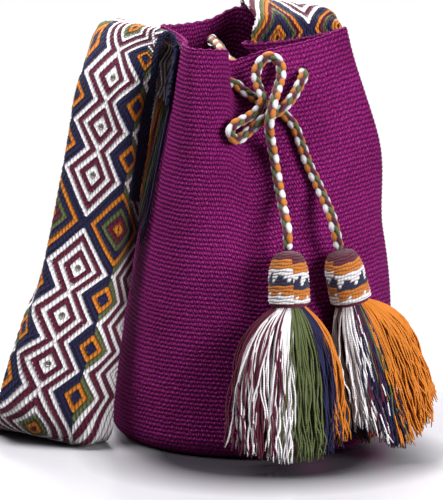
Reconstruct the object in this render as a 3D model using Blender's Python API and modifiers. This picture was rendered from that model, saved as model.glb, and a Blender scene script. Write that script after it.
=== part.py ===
"""A crocheted bucket bag with a braided drawstring, two tassels and a patterned shoulder strap.

Metres, +Z up. The origin is the centre of the round base, on the ground that the bag stands on.
The drawstring's bow is at the front, towards -Y, and +X is on the right as seen from there.
"""
import math

import bmesh
import bpy
import numpy as np
from mathutils import Matrix, Vector

# Bag body
BASE_RADIUS = 0.104
BAG_HEIGHT = 0.300
WALL = 0.0032
FLOOR_THICKNESS = 0.0040
BASE_EDGE_RADIUS = 0.012
MOUTH_WIDTH = 0.140
MOUTH_DEPTH = 0.150
ROW_RIDGE = 0.0009

# Drawstring and its eyelets
CORD_DIAMETER = 0.0070
EYELET_CLEARANCE = 0.0013
CORD_TURN_SPACING = 0.012

# Shoulder strap
STRAP_WIDTH = 0.088
STRAP_THICKNESS = 0.0040
STRAP_SEWN_LENGTH = 0.045
STRAP_GAP = 0.0010
STRAP_TURN_SPACING = 0.020
FOLD_CLEARANCE = 0.0012

# Fringe at the strap's sewn ends
FRINGE_LENGTH = 0.112
FRINGE_THICKNESS = 0.0030
FRINGE_GAP = 0.0018
HANK_GAP = 0.0008

# Tassels
CAP_RADIUS = 0.0150
CAP_HEIGHT = 0.0370
CAP_WALL = 0.0024
CORD_TO_CAP = 0.0034
TASSEL_LENGTH = 0.1475
SKIRT_FRONT_DEPTH = 0.0260
SKIRT_BACK_EXTRA = 0.0030
SKIRT_RIDGE = 0.0010
NECK_LENGTH = 0.0030
BINDING_RADIUS = 0.0009
THREAD_GAP = 0.0003
WALL_CLEARANCE = 0.0008

# How finely the soft pieces are drawn
RIDGE_COUNT = 13
AROUND_COUNT = 60
STRAP_COLUMNS = 9
STRAP_ROWS = 58
HANK_COLUMNS = 6
HANK_ROWS = 4
CAP_STEPS = 16
CORD_POINTS = 80

# The mouth's outline from above, as shares of half its width and half its depth, with the rim's
# height there as a share of the bag's height. It starts in the front valley and runs past the
# front panel, the right fold, the back, the left side and the front-left pleat.
MOUTH_OUTLINE = (
    (-0.21, -0.63, 0.930),
    (0.11, -0.63, 0.953),
    (0.57, -0.51, 0.974),
    (0.89, -0.32, 0.995),
    (1.00, -0.13, 1.000),
    (0.80, 0.00, 0.985),
    (0.40, 0.09, 0.965),
    (-0.01, 0.15, 0.955),
    (-0.01, 0.34, 0.955),
    (0.40, 0.47, 0.965),
    (0.80, 0.60, 0.975),
    (0.74, 0.80, 0.975),
    (0.31, 0.88, 0.985),
    (-0.11, 0.85, 1.030),
    (-0.46, 0.77, 1.000),
    (-0.80, 0.72, 0.988),
    (-0.97, 0.56, 0.990),
    (-0.87, 0.27, 0.985),
    (-0.76, -0.07, 0.978),
    (-0.69, -0.40, 0.972),
    (-0.71, -0.73, 0.972),
    (-0.61, -1.07, 0.970),
    (-0.37, -1.12, 0.968),
    (-0.23, -0.91, 0.962),
)
BASE_START_ANGLE = math.radians(-85.0)

# Where the folds begin above the base, and how fast they deepen, on the right and on the left
FOLD_START = (0.085, 0.030)
FOLD_POWER = (2.0, 1.05)

# Eyelets: share of the way round the bag, and share of its height
EYELETS = {
    "front_left": (0.990, 0.885),
    "front_right": (0.083, 0.905),
    "back": (0.600, 0.950),
    "back_left": (0.660, 0.940),
}

# Where the strap's two ends are sewn on: share of the way round, slope of the end in degrees,
# and gap between the end and its fringe
LEFT_END = (0.772, 0.0, 0.0007)
RIGHT_END = (0.408, 172.0, 0.0016)

# The hanging strap's lengthwise crease and the curl of its far edge: their places across the
# strap from its bag-side edge, and the width of each bend, as shares of the strap's width
CREASE_PLACE = 0.25
CURL_PLACE = 0.78
CREASE_WIDTH = 0.16

FRINGE_COLOURS = ("white", "orange", "green", "navy")

# The drawstring's route, in metres
CORD_ROUTE = (
    # Right tail, from its tassel up to the bow
    (0.0617, -0.0975, 0.1549),
    (0.0594, -0.0980, 0.1650),
    (0.0566, -0.0950, 0.1750),
    (0.0525, -0.0885, 0.1845),
    (0.0475, -0.0808, 0.1950),
    (0.0408, -0.0768, 0.2090),
    (0.0360, -0.0738, 0.2220),
    (0.0311, -0.0703, 0.2350),
    (0.0255, -0.0689, 0.2420),
    # Under the bow and in at the front left eyelet
    (0.0200, -0.0678, 0.2460),
    (0.0138, -0.0668, 0.2500),
    (0.0061, -0.0650, 0.2530),
    (0.0000, -0.0627, 0.2565),
    (-0.0060, -0.0606, 0.2605),
    (-0.0105, -0.0598, 0.2645),
    (-0.0140, -0.0593, 0.2655),
    (-0.0185, -0.0588, 0.2655),
    # Slack inside, to the back left eyelet
    (-0.0250, -0.0570, 0.2640),
    (-0.0330, -0.0490, 0.2600),
    (-0.0390, -0.0350, 0.2560),
    (-0.0430, -0.0170, 0.2540),
    (-0.0460, 0.0010, 0.2545),
    (-0.0500, 0.0180, 0.2590),
    (-0.0540, 0.0310, 0.2680),
    (-0.0568, 0.0410, 0.2780),
    (-0.0590, 0.0466, 0.2818),
    (-0.0623, 0.0516, 0.2820),
    (-0.0648, 0.0556, 0.2822),
    # Outside along the back wall, in at the back eyelet and across to the right one
    (-0.0648, 0.0605, 0.2830),
    (-0.0600, 0.0622, 0.2838),
    (-0.0527, 0.0606, 0.2845),
    (-0.0450, 0.0628, 0.2850),
    (-0.0405, 0.0670, 0.2852),
    (-0.0362, 0.0702, 0.2852),
    (-0.0318, 0.0694, 0.2851),
    (-0.0300, 0.0645, 0.2850),
    (-0.0295, 0.0600, 0.2850),
    (-0.0285, 0.0560, 0.2848),
    (-0.0265, 0.0500, 0.2840),
    (-0.0235, 0.0360, 0.2820),
    (-0.0205, 0.0200, 0.2790),
    (-0.0165, 0.0060, 0.2755),
    (-0.0080, -0.0060, 0.2720),
    (0.0040, -0.0155, 0.2695),
    (0.0170, -0.0235, 0.2685),
    (0.0280, -0.0315, 0.2695),
    (0.0340, -0.0390, 0.2710),
    (0.0362, -0.0456, 0.2715),
    (0.0376, -0.0505, 0.2715),
    # The bow: down over the front, round the lower loop, up round the top loop and down again
    (0.0376, -0.0550, 0.2700),
    (0.0352, -0.0590, 0.2655),
    (0.0315, -0.0640, 0.2590),
    (0.0275, -0.0706, 0.2540),
    (0.0230, -0.0750, 0.2500),
    (0.0175, -0.0766, 0.2460),
    (0.0113, -0.0770, 0.2430),
    (0.0055, -0.0779, 0.2390),
    (-0.0006, -0.0785, 0.2340),
    (-0.0065, -0.0834, 0.2295),
    (-0.0112, -0.0872, 0.2285),
    (-0.0146, -0.0885, 0.2330),
    (-0.0122, -0.0862, 0.2385),
    (-0.0040, -0.0790, 0.2420),
    (0.0035, -0.0752, 0.2465),
    (0.0074, -0.0750, 0.2515),
    (0.0081, -0.0722, 0.2570),
    (0.0050, -0.0660, 0.2640),
    (0.0036, -0.0612, 0.2710),
    (0.0056, -0.0578, 0.2780),
    (0.0106, -0.0550, 0.2830),
    (0.0163, -0.0545, 0.2830),
    (0.0209, -0.0572, 0.2780),
    (0.0213, -0.0630, 0.2700),
    (0.0189, -0.0705, 0.2630),
    (0.0166, -0.0785, 0.2560),
    # Left tail, down to its tassel
    (0.0145, -0.0832, 0.2490),
    (0.0132, -0.0850, 0.2420),
    (0.0130, -0.0835, 0.2345),
    (0.0142, -0.0808, 0.2260),
    (0.0166, -0.0810, 0.2130),
    (0.0188, -0.0850, 0.2000),
    (0.0207, -0.0900, 0.1900),
    (0.0226, -0.0968, 0.1810),
    (0.0245, -0.1045, 0.1725),
    (0.0256, -0.1090, 0.1655),
    (0.0258, -0.1102, 0.1566),
)

# Tassels: angle of the pivot from -Y towards +X, angle that the outward side faces, lean along the
# wall, how far the top tucks in under the bag's bulge, height of the tips, the skirt's half
# widths on its left and right, and how much shorter its sides hang. Angles are in degrees.
TASSELS = {
    "left": (13.2, 13.2, 0.0, 0.0066, 0.0065, 0.0510, 0.0390, 0.10),
    "right": (32.3, 40.0, 12.0, 0.0044, 0.0081, 0.0270, 0.0520, 0.24),
}
TASSEL_TILT = 6.0
SKIRT_FLARE = 0.15
HANKS = {
    "left": (("maroon", 0.28), ("white", 0.16), ("green", 0.30), ("navy", 0.14), ("orange", 0.12)),
    "right": (("white", 0.16), ("maroon", 0.10), ("green", 0.12), ("navy", 0.20), ("orange", 0.42)),
}

# Worked out from the sizes above
SEWN_OFFSET = STRAP_GAP + STRAP_THICKNESS / 2
STRAP_GROUND = STRAP_GAP + STRAP_THICKNESS / 2
NECK_RADIUS = 0.90 * CAP_RADIUS - CAP_WALL
CAP_BOTTOM = CORD_TO_CAP + CAP_HEIGHT
SKIRT_TOP = CAP_BOTTOM + NECK_LENGTH
SKIRT_BOTTOM = CORD_TO_CAP + TASSEL_LENGTH


def catmull_rom(before, start, end, after, t):
    """Point at t, from 0 to 1, of the spline span between start and end."""
    slope = end - before
    bend = 2 * before - 5 * start + 4 * end - after
    twist = 3 * start - before - 3 * end + after
    return start + 0.5 * t * (slope + t * (bend + t * twist))


def closed_curve(points, steps):
    """Smooth closed curve through the points, with steps samples a span."""
    before, start, end, after = (np.roll(points, shift, axis=0)[:, None] for shift in (1, 0, -1, -2))
    t = (np.arange(steps) / steps)[None, :, None]
    return catmull_rom(before, start, end, after, t).reshape(-1, points.shape[1])


def open_curve(points, steps):
    """Smooth curve through points, or a smooth surface through whole rows of points."""
    ends = np.concatenate([2 * points[:1] - points[1:2], points, 2 * points[-1:] - points[-2:-1]])
    t = (np.arange(steps) / steps).reshape(1, steps, *[1] * (points.ndim - 1))
    before, start, end, after = (ends[shift:len(ends) - 3 + shift, None] for shift in range(4))
    spans = catmull_rom(before, start, end, after, t).reshape(-1, *points.shape[1:])
    return np.concatenate([spans, points[-1:]])


def lengths_along(points):
    """Distance from the first point to each point, measured along the polyline."""
    steps = np.linalg.norm(np.diff(points, axis=0), axis=1)
    return np.concatenate([[0.0], np.cumsum(steps)])


def spaced(points, count, turn_spacing):
    """Points, or rows of points, spaced along the line through their middles.

    They stand closer together where it bends: a turn of one radian counts as turn_spacing."""
    middle = points if points.ndim == 2 else points.mean(axis=1)
    steps = np.diff(middle, axis=0)
    steps /= np.linalg.norm(steps, axis=1, keepdims=True)
    turns = np.arccos(np.clip((steps[1:] * steps[:-1]).sum(axis=1), -1.0, 1.0))
    turns = np.concatenate([[0.0, 0.0], np.cumsum(turns)])
    along = lengths_along(middle) + turn_spacing * turns
    wanted = np.linspace(0.0, along[-1], count)
    columns = points.reshape(len(points), -1).T
    even = np.stack([np.interp(wanted, along, column) for column in columns], axis=-1)
    return even.reshape(count, *points.shape[1:])


def rim_curve():
    """The rim as a dense closed polyline, with each point's share of the way round."""
    scale = np.array([MOUTH_WIDTH / 2, MOUTH_DEPTH / 2, BAG_HEIGHT])
    curve = closed_curve(np.array(MOUTH_OUTLINE) * scale, 16)
    curve = np.vstack([curve, curve[:1]])
    shares = lengths_along(curve[:, :2])
    return shares / shares[-1], curve


RIM_SHARES, RIM_POINTS = rim_curve()


def rim_point(around):
    """Point of the rim at a share of the way round, from the front valley towards +X."""
    return np.stack([np.interp(around, RIM_SHARES, RIM_POINTS[:, k], period=1.0) for k in range(3)], axis=-1)


def wall_plan(around, height):
    """Plan of the wall's outer face: the base circle low down, turning into the folded rim."""
    rim = rim_point(around)
    angle = BASE_START_ANGLE + 2 * math.pi * around
    circle = BASE_RADIUS * np.stack([np.cos(angle), np.sin(angle)], axis=-1)
    leftness = (0.5 - 0.5 * np.cos(angle)) ** 2
    start = FOLD_START[0] + (FOLD_START[1] - FOLD_START[0]) * leftness
    power = FOLD_POWER[0] + (FOLD_POWER[1] - FOLD_POWER[0]) * leftness
    rise = np.clip((height - start) / (rim[..., 2] - start), 0.0, 1.0)
    return circle + (rim[..., :2] - circle) * (rise**power)[..., None]


def wall_normal(around, height):
    """Level unit vector that points out of the wall."""
    ahead = wall_plan(around + 0.003, height) - wall_plan(around - 0.003, height)
    ahead /= np.linalg.norm(ahead, axis=-1, keepdims=True)
    return np.stack([ahead[..., 1], -ahead[..., 0]], axis=-1)


def wall_point(around, height, offset=0.0):
    """Point at a distance outside the wall's outer face."""
    around, height = np.broadcast_arrays(np.asarray(around, float), np.asarray(height, float))
    plan = wall_plan(around, height) + np.asarray(offset)[..., None] * wall_normal(around, height)
    return np.concatenate([plan, height[..., None]], axis=-1)


def clear_scene():
    for item in list(bpy.data.objects):
        bpy.data.objects.remove(item)


def new_collection(name):
    collection = bpy.data.collections.new(name)
    bpy.context.scene.collection.children.link(collection)
    return collection


def new_material(name, colour):
    """Matt thread or crochet in one colour."""
    material = bpy.data.materials.new(name)
    material.use_nodes = True
    shader = material.node_tree.nodes["Principled BSDF"]
    shader.inputs["Base Color"].default_value = (*colour, 1.0)
    shader.inputs["Roughness"].default_value = 0.85
    shader.inputs["Metallic"].default_value = 0.0
    return material


def add_object(name, data, material, collection):
    item = bpy.data.objects.new(name, data)
    if material:
        data.materials.append(material)
    collection.objects.link(item)
    return item


def loft(name, rings, closed=False):
    """Mesh whose faces join each row of points to the next. Closed rings also get end caps."""
    rows, columns = rings.shape[:2]
    index = np.arange(rows * columns).reshape(rows, columns)
    if closed:
        index = np.hstack([index, index[:, :1]])
    quads = np.stack([index[:-1, :-1], index[:-1, 1:], index[1:, 1:], index[1:, :-1]], axis=-1)
    faces = quads.reshape(-1, 4).tolist()
    if closed:
        faces.append(index[0, :columns][::-1].tolist())
        faces.append(index[-1, :columns].tolist())
    mesh = bpy.data.meshes.new(name)
    mesh.from_pydata(rings.reshape(-1, 3).tolist(), [], faces)
    shape = bmesh.new()
    shape.from_mesh(mesh)
    bmesh.ops.recalc_face_normals(shape, faces=shape.faces)
    shape.to_mesh(mesh)
    shape.free()
    mesh.shade_smooth()
    return mesh


def add_turned(name, profile, pivot, material, collection, closed=False):
    """Turned piece about its pivot's Z, from a profile that runs down its outer side."""
    points = [(radius, 0.0, height) for radius, height in profile]
    edges = [(k, k + 1) for k in range(len(points) - 1)]
    if closed:
        edges.append((len(points) - 1, 0))
    mesh = bpy.data.meshes.new(name)
    mesh.from_pydata(points, edges, [])
    piece = add_object(name, mesh, material, collection)
    piece.parent = pivot
    turn = piece.modifiers.new("turn", "SCREW")
    turn.steps = CAP_STEPS
    turn.render_steps = CAP_STEPS
    turn.use_merge_vertices = True
    turn.merge_threshold = 0.00005
    return piece


def bag_rings():
    """Rings from the edge of the base, up the outer wall, over the rim and down inside."""
    around = np.arange(AROUND_COUNT) / AROUND_COUNT
    rim_height = rim_point(around)[:, 2]
    rings = []
    for turn in (0.0, 30.0, 60.0):
        inset = BASE_EDGE_RADIUS * (1 - math.sin(math.radians(turn)))
        height = BASE_EDGE_RADIUS * (1 - math.cos(math.radians(turn)))
        rings.append(wall_point(around, height, -inset))
    for step in range(2 * RIDGE_COUNT + 1):
        height = BASE_EDGE_RADIUS + (rim_height - BASE_EDGE_RADIUS) * step / (2 * RIDGE_COUNT)
        rings.append(wall_point(around, height, -ROW_RIDGE * (step % 2)))
    lip = wall_point(around, rim_height, -WALL / 2)
    lip[:, 2] += WALL / 3
    rings.append(lip)
    inner_low = FLOOR_THICKNESS + BASE_EDGE_RADIUS / 2
    for share in (1.0, 0.86, 0.72, 0.56, 0.40, 0.22, 0.0):
        height = inner_low + (rim_height - inner_low) * share
        rings.append(wall_point(around, height, -WALL))
    rings.append(wall_point(around, FLOOR_THICKNESS, -WALL - BASE_EDGE_RADIUS / 2))
    return np.array(rings)


def add_eyelet_cutter(name, around, height, collection):
    """Round cutter that goes straight through the wall at an eyelet."""
    radius = CORD_DIAMETER / 2 + EYELET_CLEARANCE
    shape = bmesh.new()
    bmesh.ops.create_cone(shape, cap_ends=True, segments=12, depth=5 * WALL, radius1=radius, radius2=radius)
    mesh = bpy.data.meshes.new(name)
    shape.to_mesh(mesh)
    shape.free()
    cutter = add_object(name, mesh, None, collection)
    normal = wall_normal(np.array(around), np.array(height))
    cutter.rotation_euler = Vector((*normal, 0.0)).to_track_quat("Z", "Y").to_euler()
    cutter.location = wall_point(around, height, -WALL / 2)
    cutter.hide_render = True
    cutter.display_type = "WIRE"
    return cutter


def make_bag(collection, cutters, material):
    body = add_object("bag_body", loft("bag_body", bag_rings(), closed=True), material, collection)
    body.modifiers.new("facets", "TRIANGULATE")
    for name, (around, height_share) in EYELETS.items():
        cut = body.modifiers.new(f"eyelet_{name}", "BOOLEAN")
        cut.operation = "DIFFERENCE"
        cut.solver = "EXACT"
        cut.object = add_eyelet_cutter(f"cutter_{name}", around, height_share * BAG_HEIGHT, cutters)


def across_strap():
    """Distances from the strap's middle line, from its far edge to its bag-side edge."""
    return np.linspace(-STRAP_WIDTH / 2, STRAP_WIDTH / 2, STRAP_COLUMNS)


def row_on_wall(around, height, slope, offset, across):
    """One crosswise row that lies along the wall.

    slope is in degrees: 0 runs level towards a greater share of the way round."""
    shares = around + np.linspace(-0.25, 0.25, 151)
    along = lengths_along(wall_point(shares, height, offset))
    along -= along[len(along) // 2]
    arounds = np.interp(across * math.cos(math.radians(slope)), along, shares)
    return wall_point(arounds, height + across * math.sin(math.radians(slope)), offset)


def row_beside_wall(around, height, slope, offset):
    """One straight crosswise row, at a distance from the wall at its middle."""
    normal = wall_normal(np.array(around), np.array(height))
    level = math.cos(math.radians(slope))
    direction = np.array([-normal[1] * level, normal[0] * level, math.sin(math.radians(slope))])
    return wall_point(around, height, offset) + across_strap()[:, None] * direction


def row_leaning(x_share, y_share, lean):
    """One straight row with its far edge on the ground, raised by lean degrees towards the bag."""
    level = math.cos(math.radians(lean))
    direction = np.array([0.98 * level, -0.2 * level, math.sin(math.radians(lean))])
    middle_height = STRAP_GROUND + STRAP_WIDTH / 2 * direction[2]
    middle = np.array([x_share * BASE_RADIUS, y_share * BASE_RADIUS, middle_height])
    return middle + across_strap()[:, None] * direction


def row_bent(edge, headings, places, width):
    """One crosswise row that starts at the strap's bag-side edge.

    It follows the headings in turn, and changes from each to the next at a place across the
    strap. The places and the width of each change are shares of the strap's width."""
    share = np.linspace(0.0, 1.0, 61)[:, None]
    heading = np.array(headings[0]) + 0 * share
    for turn, place in zip(headings[1:], places):
        blend = np.clip((share - place) / width + 0.5, 0.0, 1.0)
        blend = blend * blend * (3 - 2 * blend)
        heading = (1 - blend) * heading + blend * np.array(turn)
    heading *= STRAP_WIDTH / 60 / np.linalg.norm(heading, axis=1, keepdims=True)
    line = np.array(edge) + np.vstack([np.zeros(3), np.cumsum(0.5 * (heading[1:] + heading[:-1]), axis=0)])
    pick = np.linspace(1.0, 0.0, STRAP_COLUMNS)
    return np.stack([np.interp(pick, share[:, 0], line[:, k]) for k in range(3)], axis=-1)


def row_hanging(around, height, standoff, angles, near_rise=0.0, far_rise=0.0):
    """One crosswise row of the hanging strap, creased lengthwise and curled back at its far edge.

    Its bag-side edge is a standoff from the wall. The angles are the headings up to the crease,
    between crease and curl, and at the far edge, in degrees back of -X. The rises are the
    slopes up to the crease and beyond it."""
    edge = wall_point(around, height, standoff)
    slopes = (near_rise, far_rise, far_rise)
    headings = [(-math.cos(math.radians(angle)), math.sin(math.radians(angle)), rise)
                for angle, rise in zip(angles, slopes)]
    return row_bent(edge, headings, (CREASE_PLACE, CURL_PLACE), CREASE_WIDTH)


def end_height(end):
    """Height of the middle of a sewn end's lower edge."""
    return float(rim_point(np.array(end[0]))[2]) - STRAP_SEWN_LENGTH


def left_part_sections():
    """Rows from the left sewn end, over the ridge and down to the ground at the front left."""
    around, slope = LEFT_END[:2]
    low = end_height(LEFT_END)
    rim = low + STRAP_SEWN_LENGTH
    across = across_strap()
    return [
        row_on_wall(around, low, slope, SEWN_OFFSET, across),
        row_on_wall(around, low + 0.5 * STRAP_SEWN_LENGTH, slope, SEWN_OFFSET, across),
        row_on_wall(around, rim - 0.004, slope, SEWN_OFFSET, across),
        row_hanging(0.842, rim + 0.004, 0.0040, (68, 68, 68), 0.02, 0.02),
        row_hanging(0.842, rim + 0.010, 0.0080, (57, 57, 57), 0.04, 0.03),
        row_hanging(0.835, rim + 0.000, 0.0145, (44, 46, 66), 0.06, 0.05),
        row_hanging(0.815, 0.86 * BAG_HEIGHT, 0.0145, (-24, 36, 88), 0.03, 0.03),
        row_hanging(0.797, 0.70 * BAG_HEIGHT, 0.0110, (-55, 14, 92)),
        row_hanging(0.797, 0.48 * BAG_HEIGHT, 0.0105, (-60, 8, 88)),
        row_hanging(0.818, 0.28 * BAG_HEIGHT, 0.0100, (-42, 4, 70)),
        row_hanging(0.822, 0.115 * BAG_HEIGHT, 0.0120, (-38, 6, 34), -0.10, 0.10),
        row_hanging(0.822, STRAP_GROUND + 0.013, 0.0130, (-40, 12, 14), -0.22, 0.20),
        row_hanging(0.816, STRAP_GROUND + 0.005, 0.0130, (-34, 14, 14), -0.20, 0.19),
        row_hanging(0.802, STRAP_GROUND, 0.0115, (-12, 18, 18), 0.0, 0.10),
    ]


def back_part_sections():
    """Rows along the ground on the left and up round the back, leaning against the bag."""
    across = across_strap()
    standing = STRAP_GROUND + STRAP_WIDTH / 2
    return [
        row_leaning(-1.50, -0.17, 2.0),
        row_leaning(-1.50, 0.12, 12.0),
        row_leaning(-1.42, 0.42, 38.0),
        row_leaning(-1.25, 0.68, 66.0),
        row_beside_wall(0.618, standing, 86.0, 0.022),
        row_beside_wall(0.580, standing + 0.012, 76.0, 0.012),
        row_on_wall(0.537, 0.29 * BAG_HEIGHT, 62.0, 0.0080, across),
        row_on_wall(0.505, 0.43 * BAG_HEIGHT, 47.0, 0.0085, across),
        row_beside_wall(0.490, 0.60 * BAG_HEIGHT, 34.0, 0.0100),
        row_beside_wall(0.488, 0.78 * BAG_HEIGHT, 22.0, 0.0105),
        row_beside_wall(0.492, 0.90 * BAG_HEIGHT, 16.0, 0.0110),
    ]


def right_part_sections():
    """Rows of the arch over the rim at the back right, with a rolled far edge, and of the right
    sewn end, which wraps round the corner of the bag's fold."""
    around, slope = RIGHT_END[:2]
    low = end_height(RIGHT_END)
    rim = low + STRAP_SEWN_LENGTH
    offset = SEWN_OFFSET + FOLD_CLEARANCE
    roll = ((0.76,), 0.32)
    wrap = ((0.80,), 0.36)
    return [
        row_bent((-0.0085, 0.0810, rim + 0.011), ((0.98, -0.02, -0.14), (0.80, -0.20, -0.55)), *roll),
        row_bent((-0.0075, 0.0680, rim + 0.022), ((0.98, 0.00, -0.12), (0.40, 0.10, -0.90)), *roll),
        row_bent((-0.0060, 0.0500, rim + 0.025), ((0.98, 0.04, -0.12), (0.15, 0.62, -0.76)), *roll),
        row_bent((-0.0015, 0.0330, rim + 0.020), ((0.96, 0.22, -0.12), (-0.35, 0.85, -0.45)), *roll),
        row_bent((0.0030, 0.0215, rim + 0.013), ((0.94, 0.33, -0.12), (-0.75, 0.62, -0.30)), *wrap),
        row_on_wall(around, rim - 0.009, slope, offset, across_strap()),
        row_on_wall(around, low + 0.5 * STRAP_SEWN_LENGTH, slope, offset, across_strap()),
        row_on_wall(around, low, slope, offset, across_strap()),
    ]


def strap_rows():
    """The strap's middle surface as crosswise rows, from its left end to its right end."""
    sections = left_part_sections() + back_part_sections() + right_part_sections()
    return spaced(open_curve(np.array(sections), 8), STRAP_ROWS, STRAP_TURN_SPACING)


def add_sheet(name, rows, thickness, material, collection):
    """A band or hank: an open surface that gets its thickness to both sides alike."""
    sheet = add_object(name, loft(name, rows), material, collection)
    wall = sheet.modifiers.new("thickness", "SOLIDIFY")
    wall.thickness = thickness
    wall.offset = 0.0


def make_fringe(side, end, collection, materials):
    """Four hanks of loose ends that hang down the wall from a sewn end of the strap."""
    around, slope, gap = end
    offset = FRINGE_GAP + FRINGE_THICKNESS / 2
    top = end_height(end) - gap
    width = STRAP_WIDTH / len(FRINGE_COLOURS)
    for number, colour in enumerate(FRINGE_COLOURS):
        start = -STRAP_WIDTH / 2 + number * width + HANK_GAP / 2
        across = np.linspace(start, start + width - HANK_GAP, HANK_COLUMNS)
        rows = [row_on_wall(around, top - drop, slope, offset, across)
                for drop in np.linspace(0.0, FRINGE_LENGTH, HANK_ROWS)]
        add_sheet(f"fringe_{side}_{colour}", np.array(rows), FRINGE_THICKNESS, materials[colour], collection)


def make_drawstring(collection, material):
    """One cord from tassel to tassel, through the eyelets and tied in a bow at the front."""
    path = spaced(open_curve(np.array(CORD_ROUTE), 8), CORD_POINTS, CORD_TURN_SPACING)
    curve = bpy.data.curves.new("drawstring", "CURVE")
    curve.dimensions = "3D"
    curve.bevel_depth = CORD_DIAMETER / 2
    curve.bevel_resolution = 2
    curve.use_fill_caps = True
    line = curve.splines.new("POLY")
    line.points.add(len(path) - 1)
    for point, place in zip(line.points, path):
        point.co = (*place, 1.0)
    add_object("drawstring", curve, material, collection)


def make_pivot(side, collection):
    """Empty at the cord's end, with -Z down the tassel and +Y away from the bag."""
    angle, facing, lean, tuck, tips = TASSELS[side][:5]
    radius = BASE_RADIUS + CAP_RADIUS + WALL_CLEARANCE - tuck
    lean = math.radians(lean)
    tilt = math.radians(TASSEL_TILT)
    angle = math.radians(angle)
    facing = math.radians(facing)
    outward = Vector((math.sin(facing), -math.cos(facing), 0.0))
    up = Vector((0.0, 0.0, 1.0))
    frame = Matrix((outward.cross(up), outward, up)).transposed()
    turn = frame @ Matrix.Rotation(lean, 3, "Y") @ Matrix.Rotation(tilt, 3, "X")
    height = tips + SKIRT_BOTTOM * math.cos(lean) * math.cos(tilt)
    pivot = bpy.data.objects.new(f"pivot_{side}", None)
    collection.objects.link(pivot)
    pivot.location = (radius * math.sin(angle), -radius * math.cos(angle), height)
    pivot.rotation_euler = turn.to_euler()
    return pivot


def make_cap(side, pivot, collection, material):
    """Crocheted cap: a turned shell with a domed top that closes on the cord's end."""
    top = -CORD_TO_CAP
    outer = [
        (0.0, -THREAD_GAP),
        (0.0011, top),
        (0.30 * CAP_RADIUS, top - 0.0003),
        (0.64 * CAP_RADIUS, top - 0.0024),
        (0.85 * CAP_RADIUS, top - 0.0066),
        (0.93 * CAP_RADIUS, top - 0.35 * CAP_HEIGHT),
        (0.97 * CAP_RADIUS, top - 0.70 * CAP_HEIGHT),
        (CAP_RADIUS, -CAP_BOTTOM),
    ]
    inner = [(radius - CAP_WALL, height) for radius, height in reversed(outer[5:])]
    inner.append((0.66 * CAP_RADIUS, top - 0.0070 - CAP_WALL / 2))
    inner.append((0.0, top - 0.0030 - CAP_WALL))
    add_turned(f"tassel_{side}_cap", outer + inner, pivot, material, collection)


def make_binding(side, pivot, collection, material):
    """Thread wound round the neck, just under the cap."""
    ring = NECK_RADIUS + THREAD_GAP + BINDING_RADIUS
    height = -CAP_BOTTOM - THREAD_GAP - BINDING_RADIUS
    angles = [math.pi / 2 - math.pi * step / 3 for step in range(6)]
    profile = [(ring + BINDING_RADIUS * math.cos(angle), height + BINDING_RADIUS * math.sin(angle))
               for angle in angles]
    add_turned(f"tassel_{side}_binding", profile, pivot, material, collection, closed=True)


def hank_section(side, depth, start, stop):
    """Outline of one hank at a depth below the pivot.

    start and stop are places across the skirt, from -1 at its left to 1 at its right."""
    below = (depth - SKIRT_TOP) / (SKIRT_BOTTOM - SKIRT_TOP)
    left_half, right_half, fan = TASSELS[side][5:]
    spread = (1 - math.exp(-6 * max(below, 0.0))) * (1 - SKIRT_FLARE * (1 - below))
    place = np.linspace(start, stop, HANK_COLUMNS)
    half = np.where(place < 0, left_half, right_half)
    width = NECK_RADIUS + (half - NECK_RADIUS) * spread
    front = NECK_RADIUS + (SKIRT_FRONT_DEPTH - NECK_RADIUS) * spread
    back = NECK_RADIUS + (CAP_RADIUS + SKIRT_BACK_EXTRA - NECK_RADIUS) * spread
    arch = np.sqrt(1 - place**2)
    ridge = SKIRT_RIDGE * spread * (np.arange(HANK_COLUMNS) % 2)
    x = -place * width - THREAD_GAP * np.linspace(0.5, -0.5, HANK_COLUMNS)
    z = -depth + (depth - CAP_BOTTOM) * fan * place**2 * spread
    front_line = np.stack([x, front * arch - ridge, z], axis=-1)
    back_line = np.stack([x, ridge - back * arch, z], axis=-1)
    return np.vstack([front_line, back_line[::-1]])


def make_hanks(side, pivot, collection, materials):
    """The tassel's hanks of thread, side by side from left to right."""
    shares = (0.0, 0.08, 0.20, 0.42, 0.70, 1.0)
    depths = [CORD_TO_CAP + 0.42 * CAP_HEIGHT] + [SKIRT_TOP + (SKIRT_BOTTOM - SKIRT_TOP) * share for share in shares]
    edge = 0.985
    start = -edge
    for colour, portion in HANKS[side]:
        stop = start + 2 * edge * portion
        rings = np.array([hank_section(side, depth, start, stop) for depth in depths])
        name = f"tassel_{side}_{colour}"
        hank = add_object(name, loft(name, rings, closed=True), materials[colour], collection)
        hank.parent = pivot
        start = stop


def main():
    clear_scene()
    bag = new_collection("crochet_bag")
    cutters = new_collection("cutters")
    materials = {
        "plum": new_material("plum_crochet", (0.20, 0.012, 0.15)),
        "white": new_material("white_thread", (0.80, 0.78, 0.75)),
        "maroon": new_material("maroon_thread", (0.055, 0.006, 0.018)),
        "orange": new_material("orange_thread", (0.62, 0.20, 0.02)),
        "green": new_material("green_thread", (0.07, 0.09, 0.025)),
        "navy": new_material("navy_thread", (0.008, 0.008, 0.035)),
    }
    make_bag(bag, cutters, materials["plum"])
    add_sheet("shoulder_strap", strap_rows(), STRAP_THICKNESS, materials["white"], bag)
    make_fringe("left", LEFT_END, bag, materials)
    make_fringe("right", RIGHT_END, bag, materials)
    make_drawstring(bag, materials["orange"])
    for side in TASSELS:
        pivot = make_pivot(side, bag)
        make_cap(side, pivot, bag, materials["white"])
        make_binding(side, pivot, bag, materials["maroon"])
        make_hanks(side, pivot, bag, materials)


main()
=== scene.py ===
"""The looks of a crocheted bucket bag: crochet, patterned strap, braided drawstring and tassels.

Metres, in the frame of the CAD model: the base's centre is on the ground, the front is towards -Y.
"""
import math
from itertools import accumulate

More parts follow.
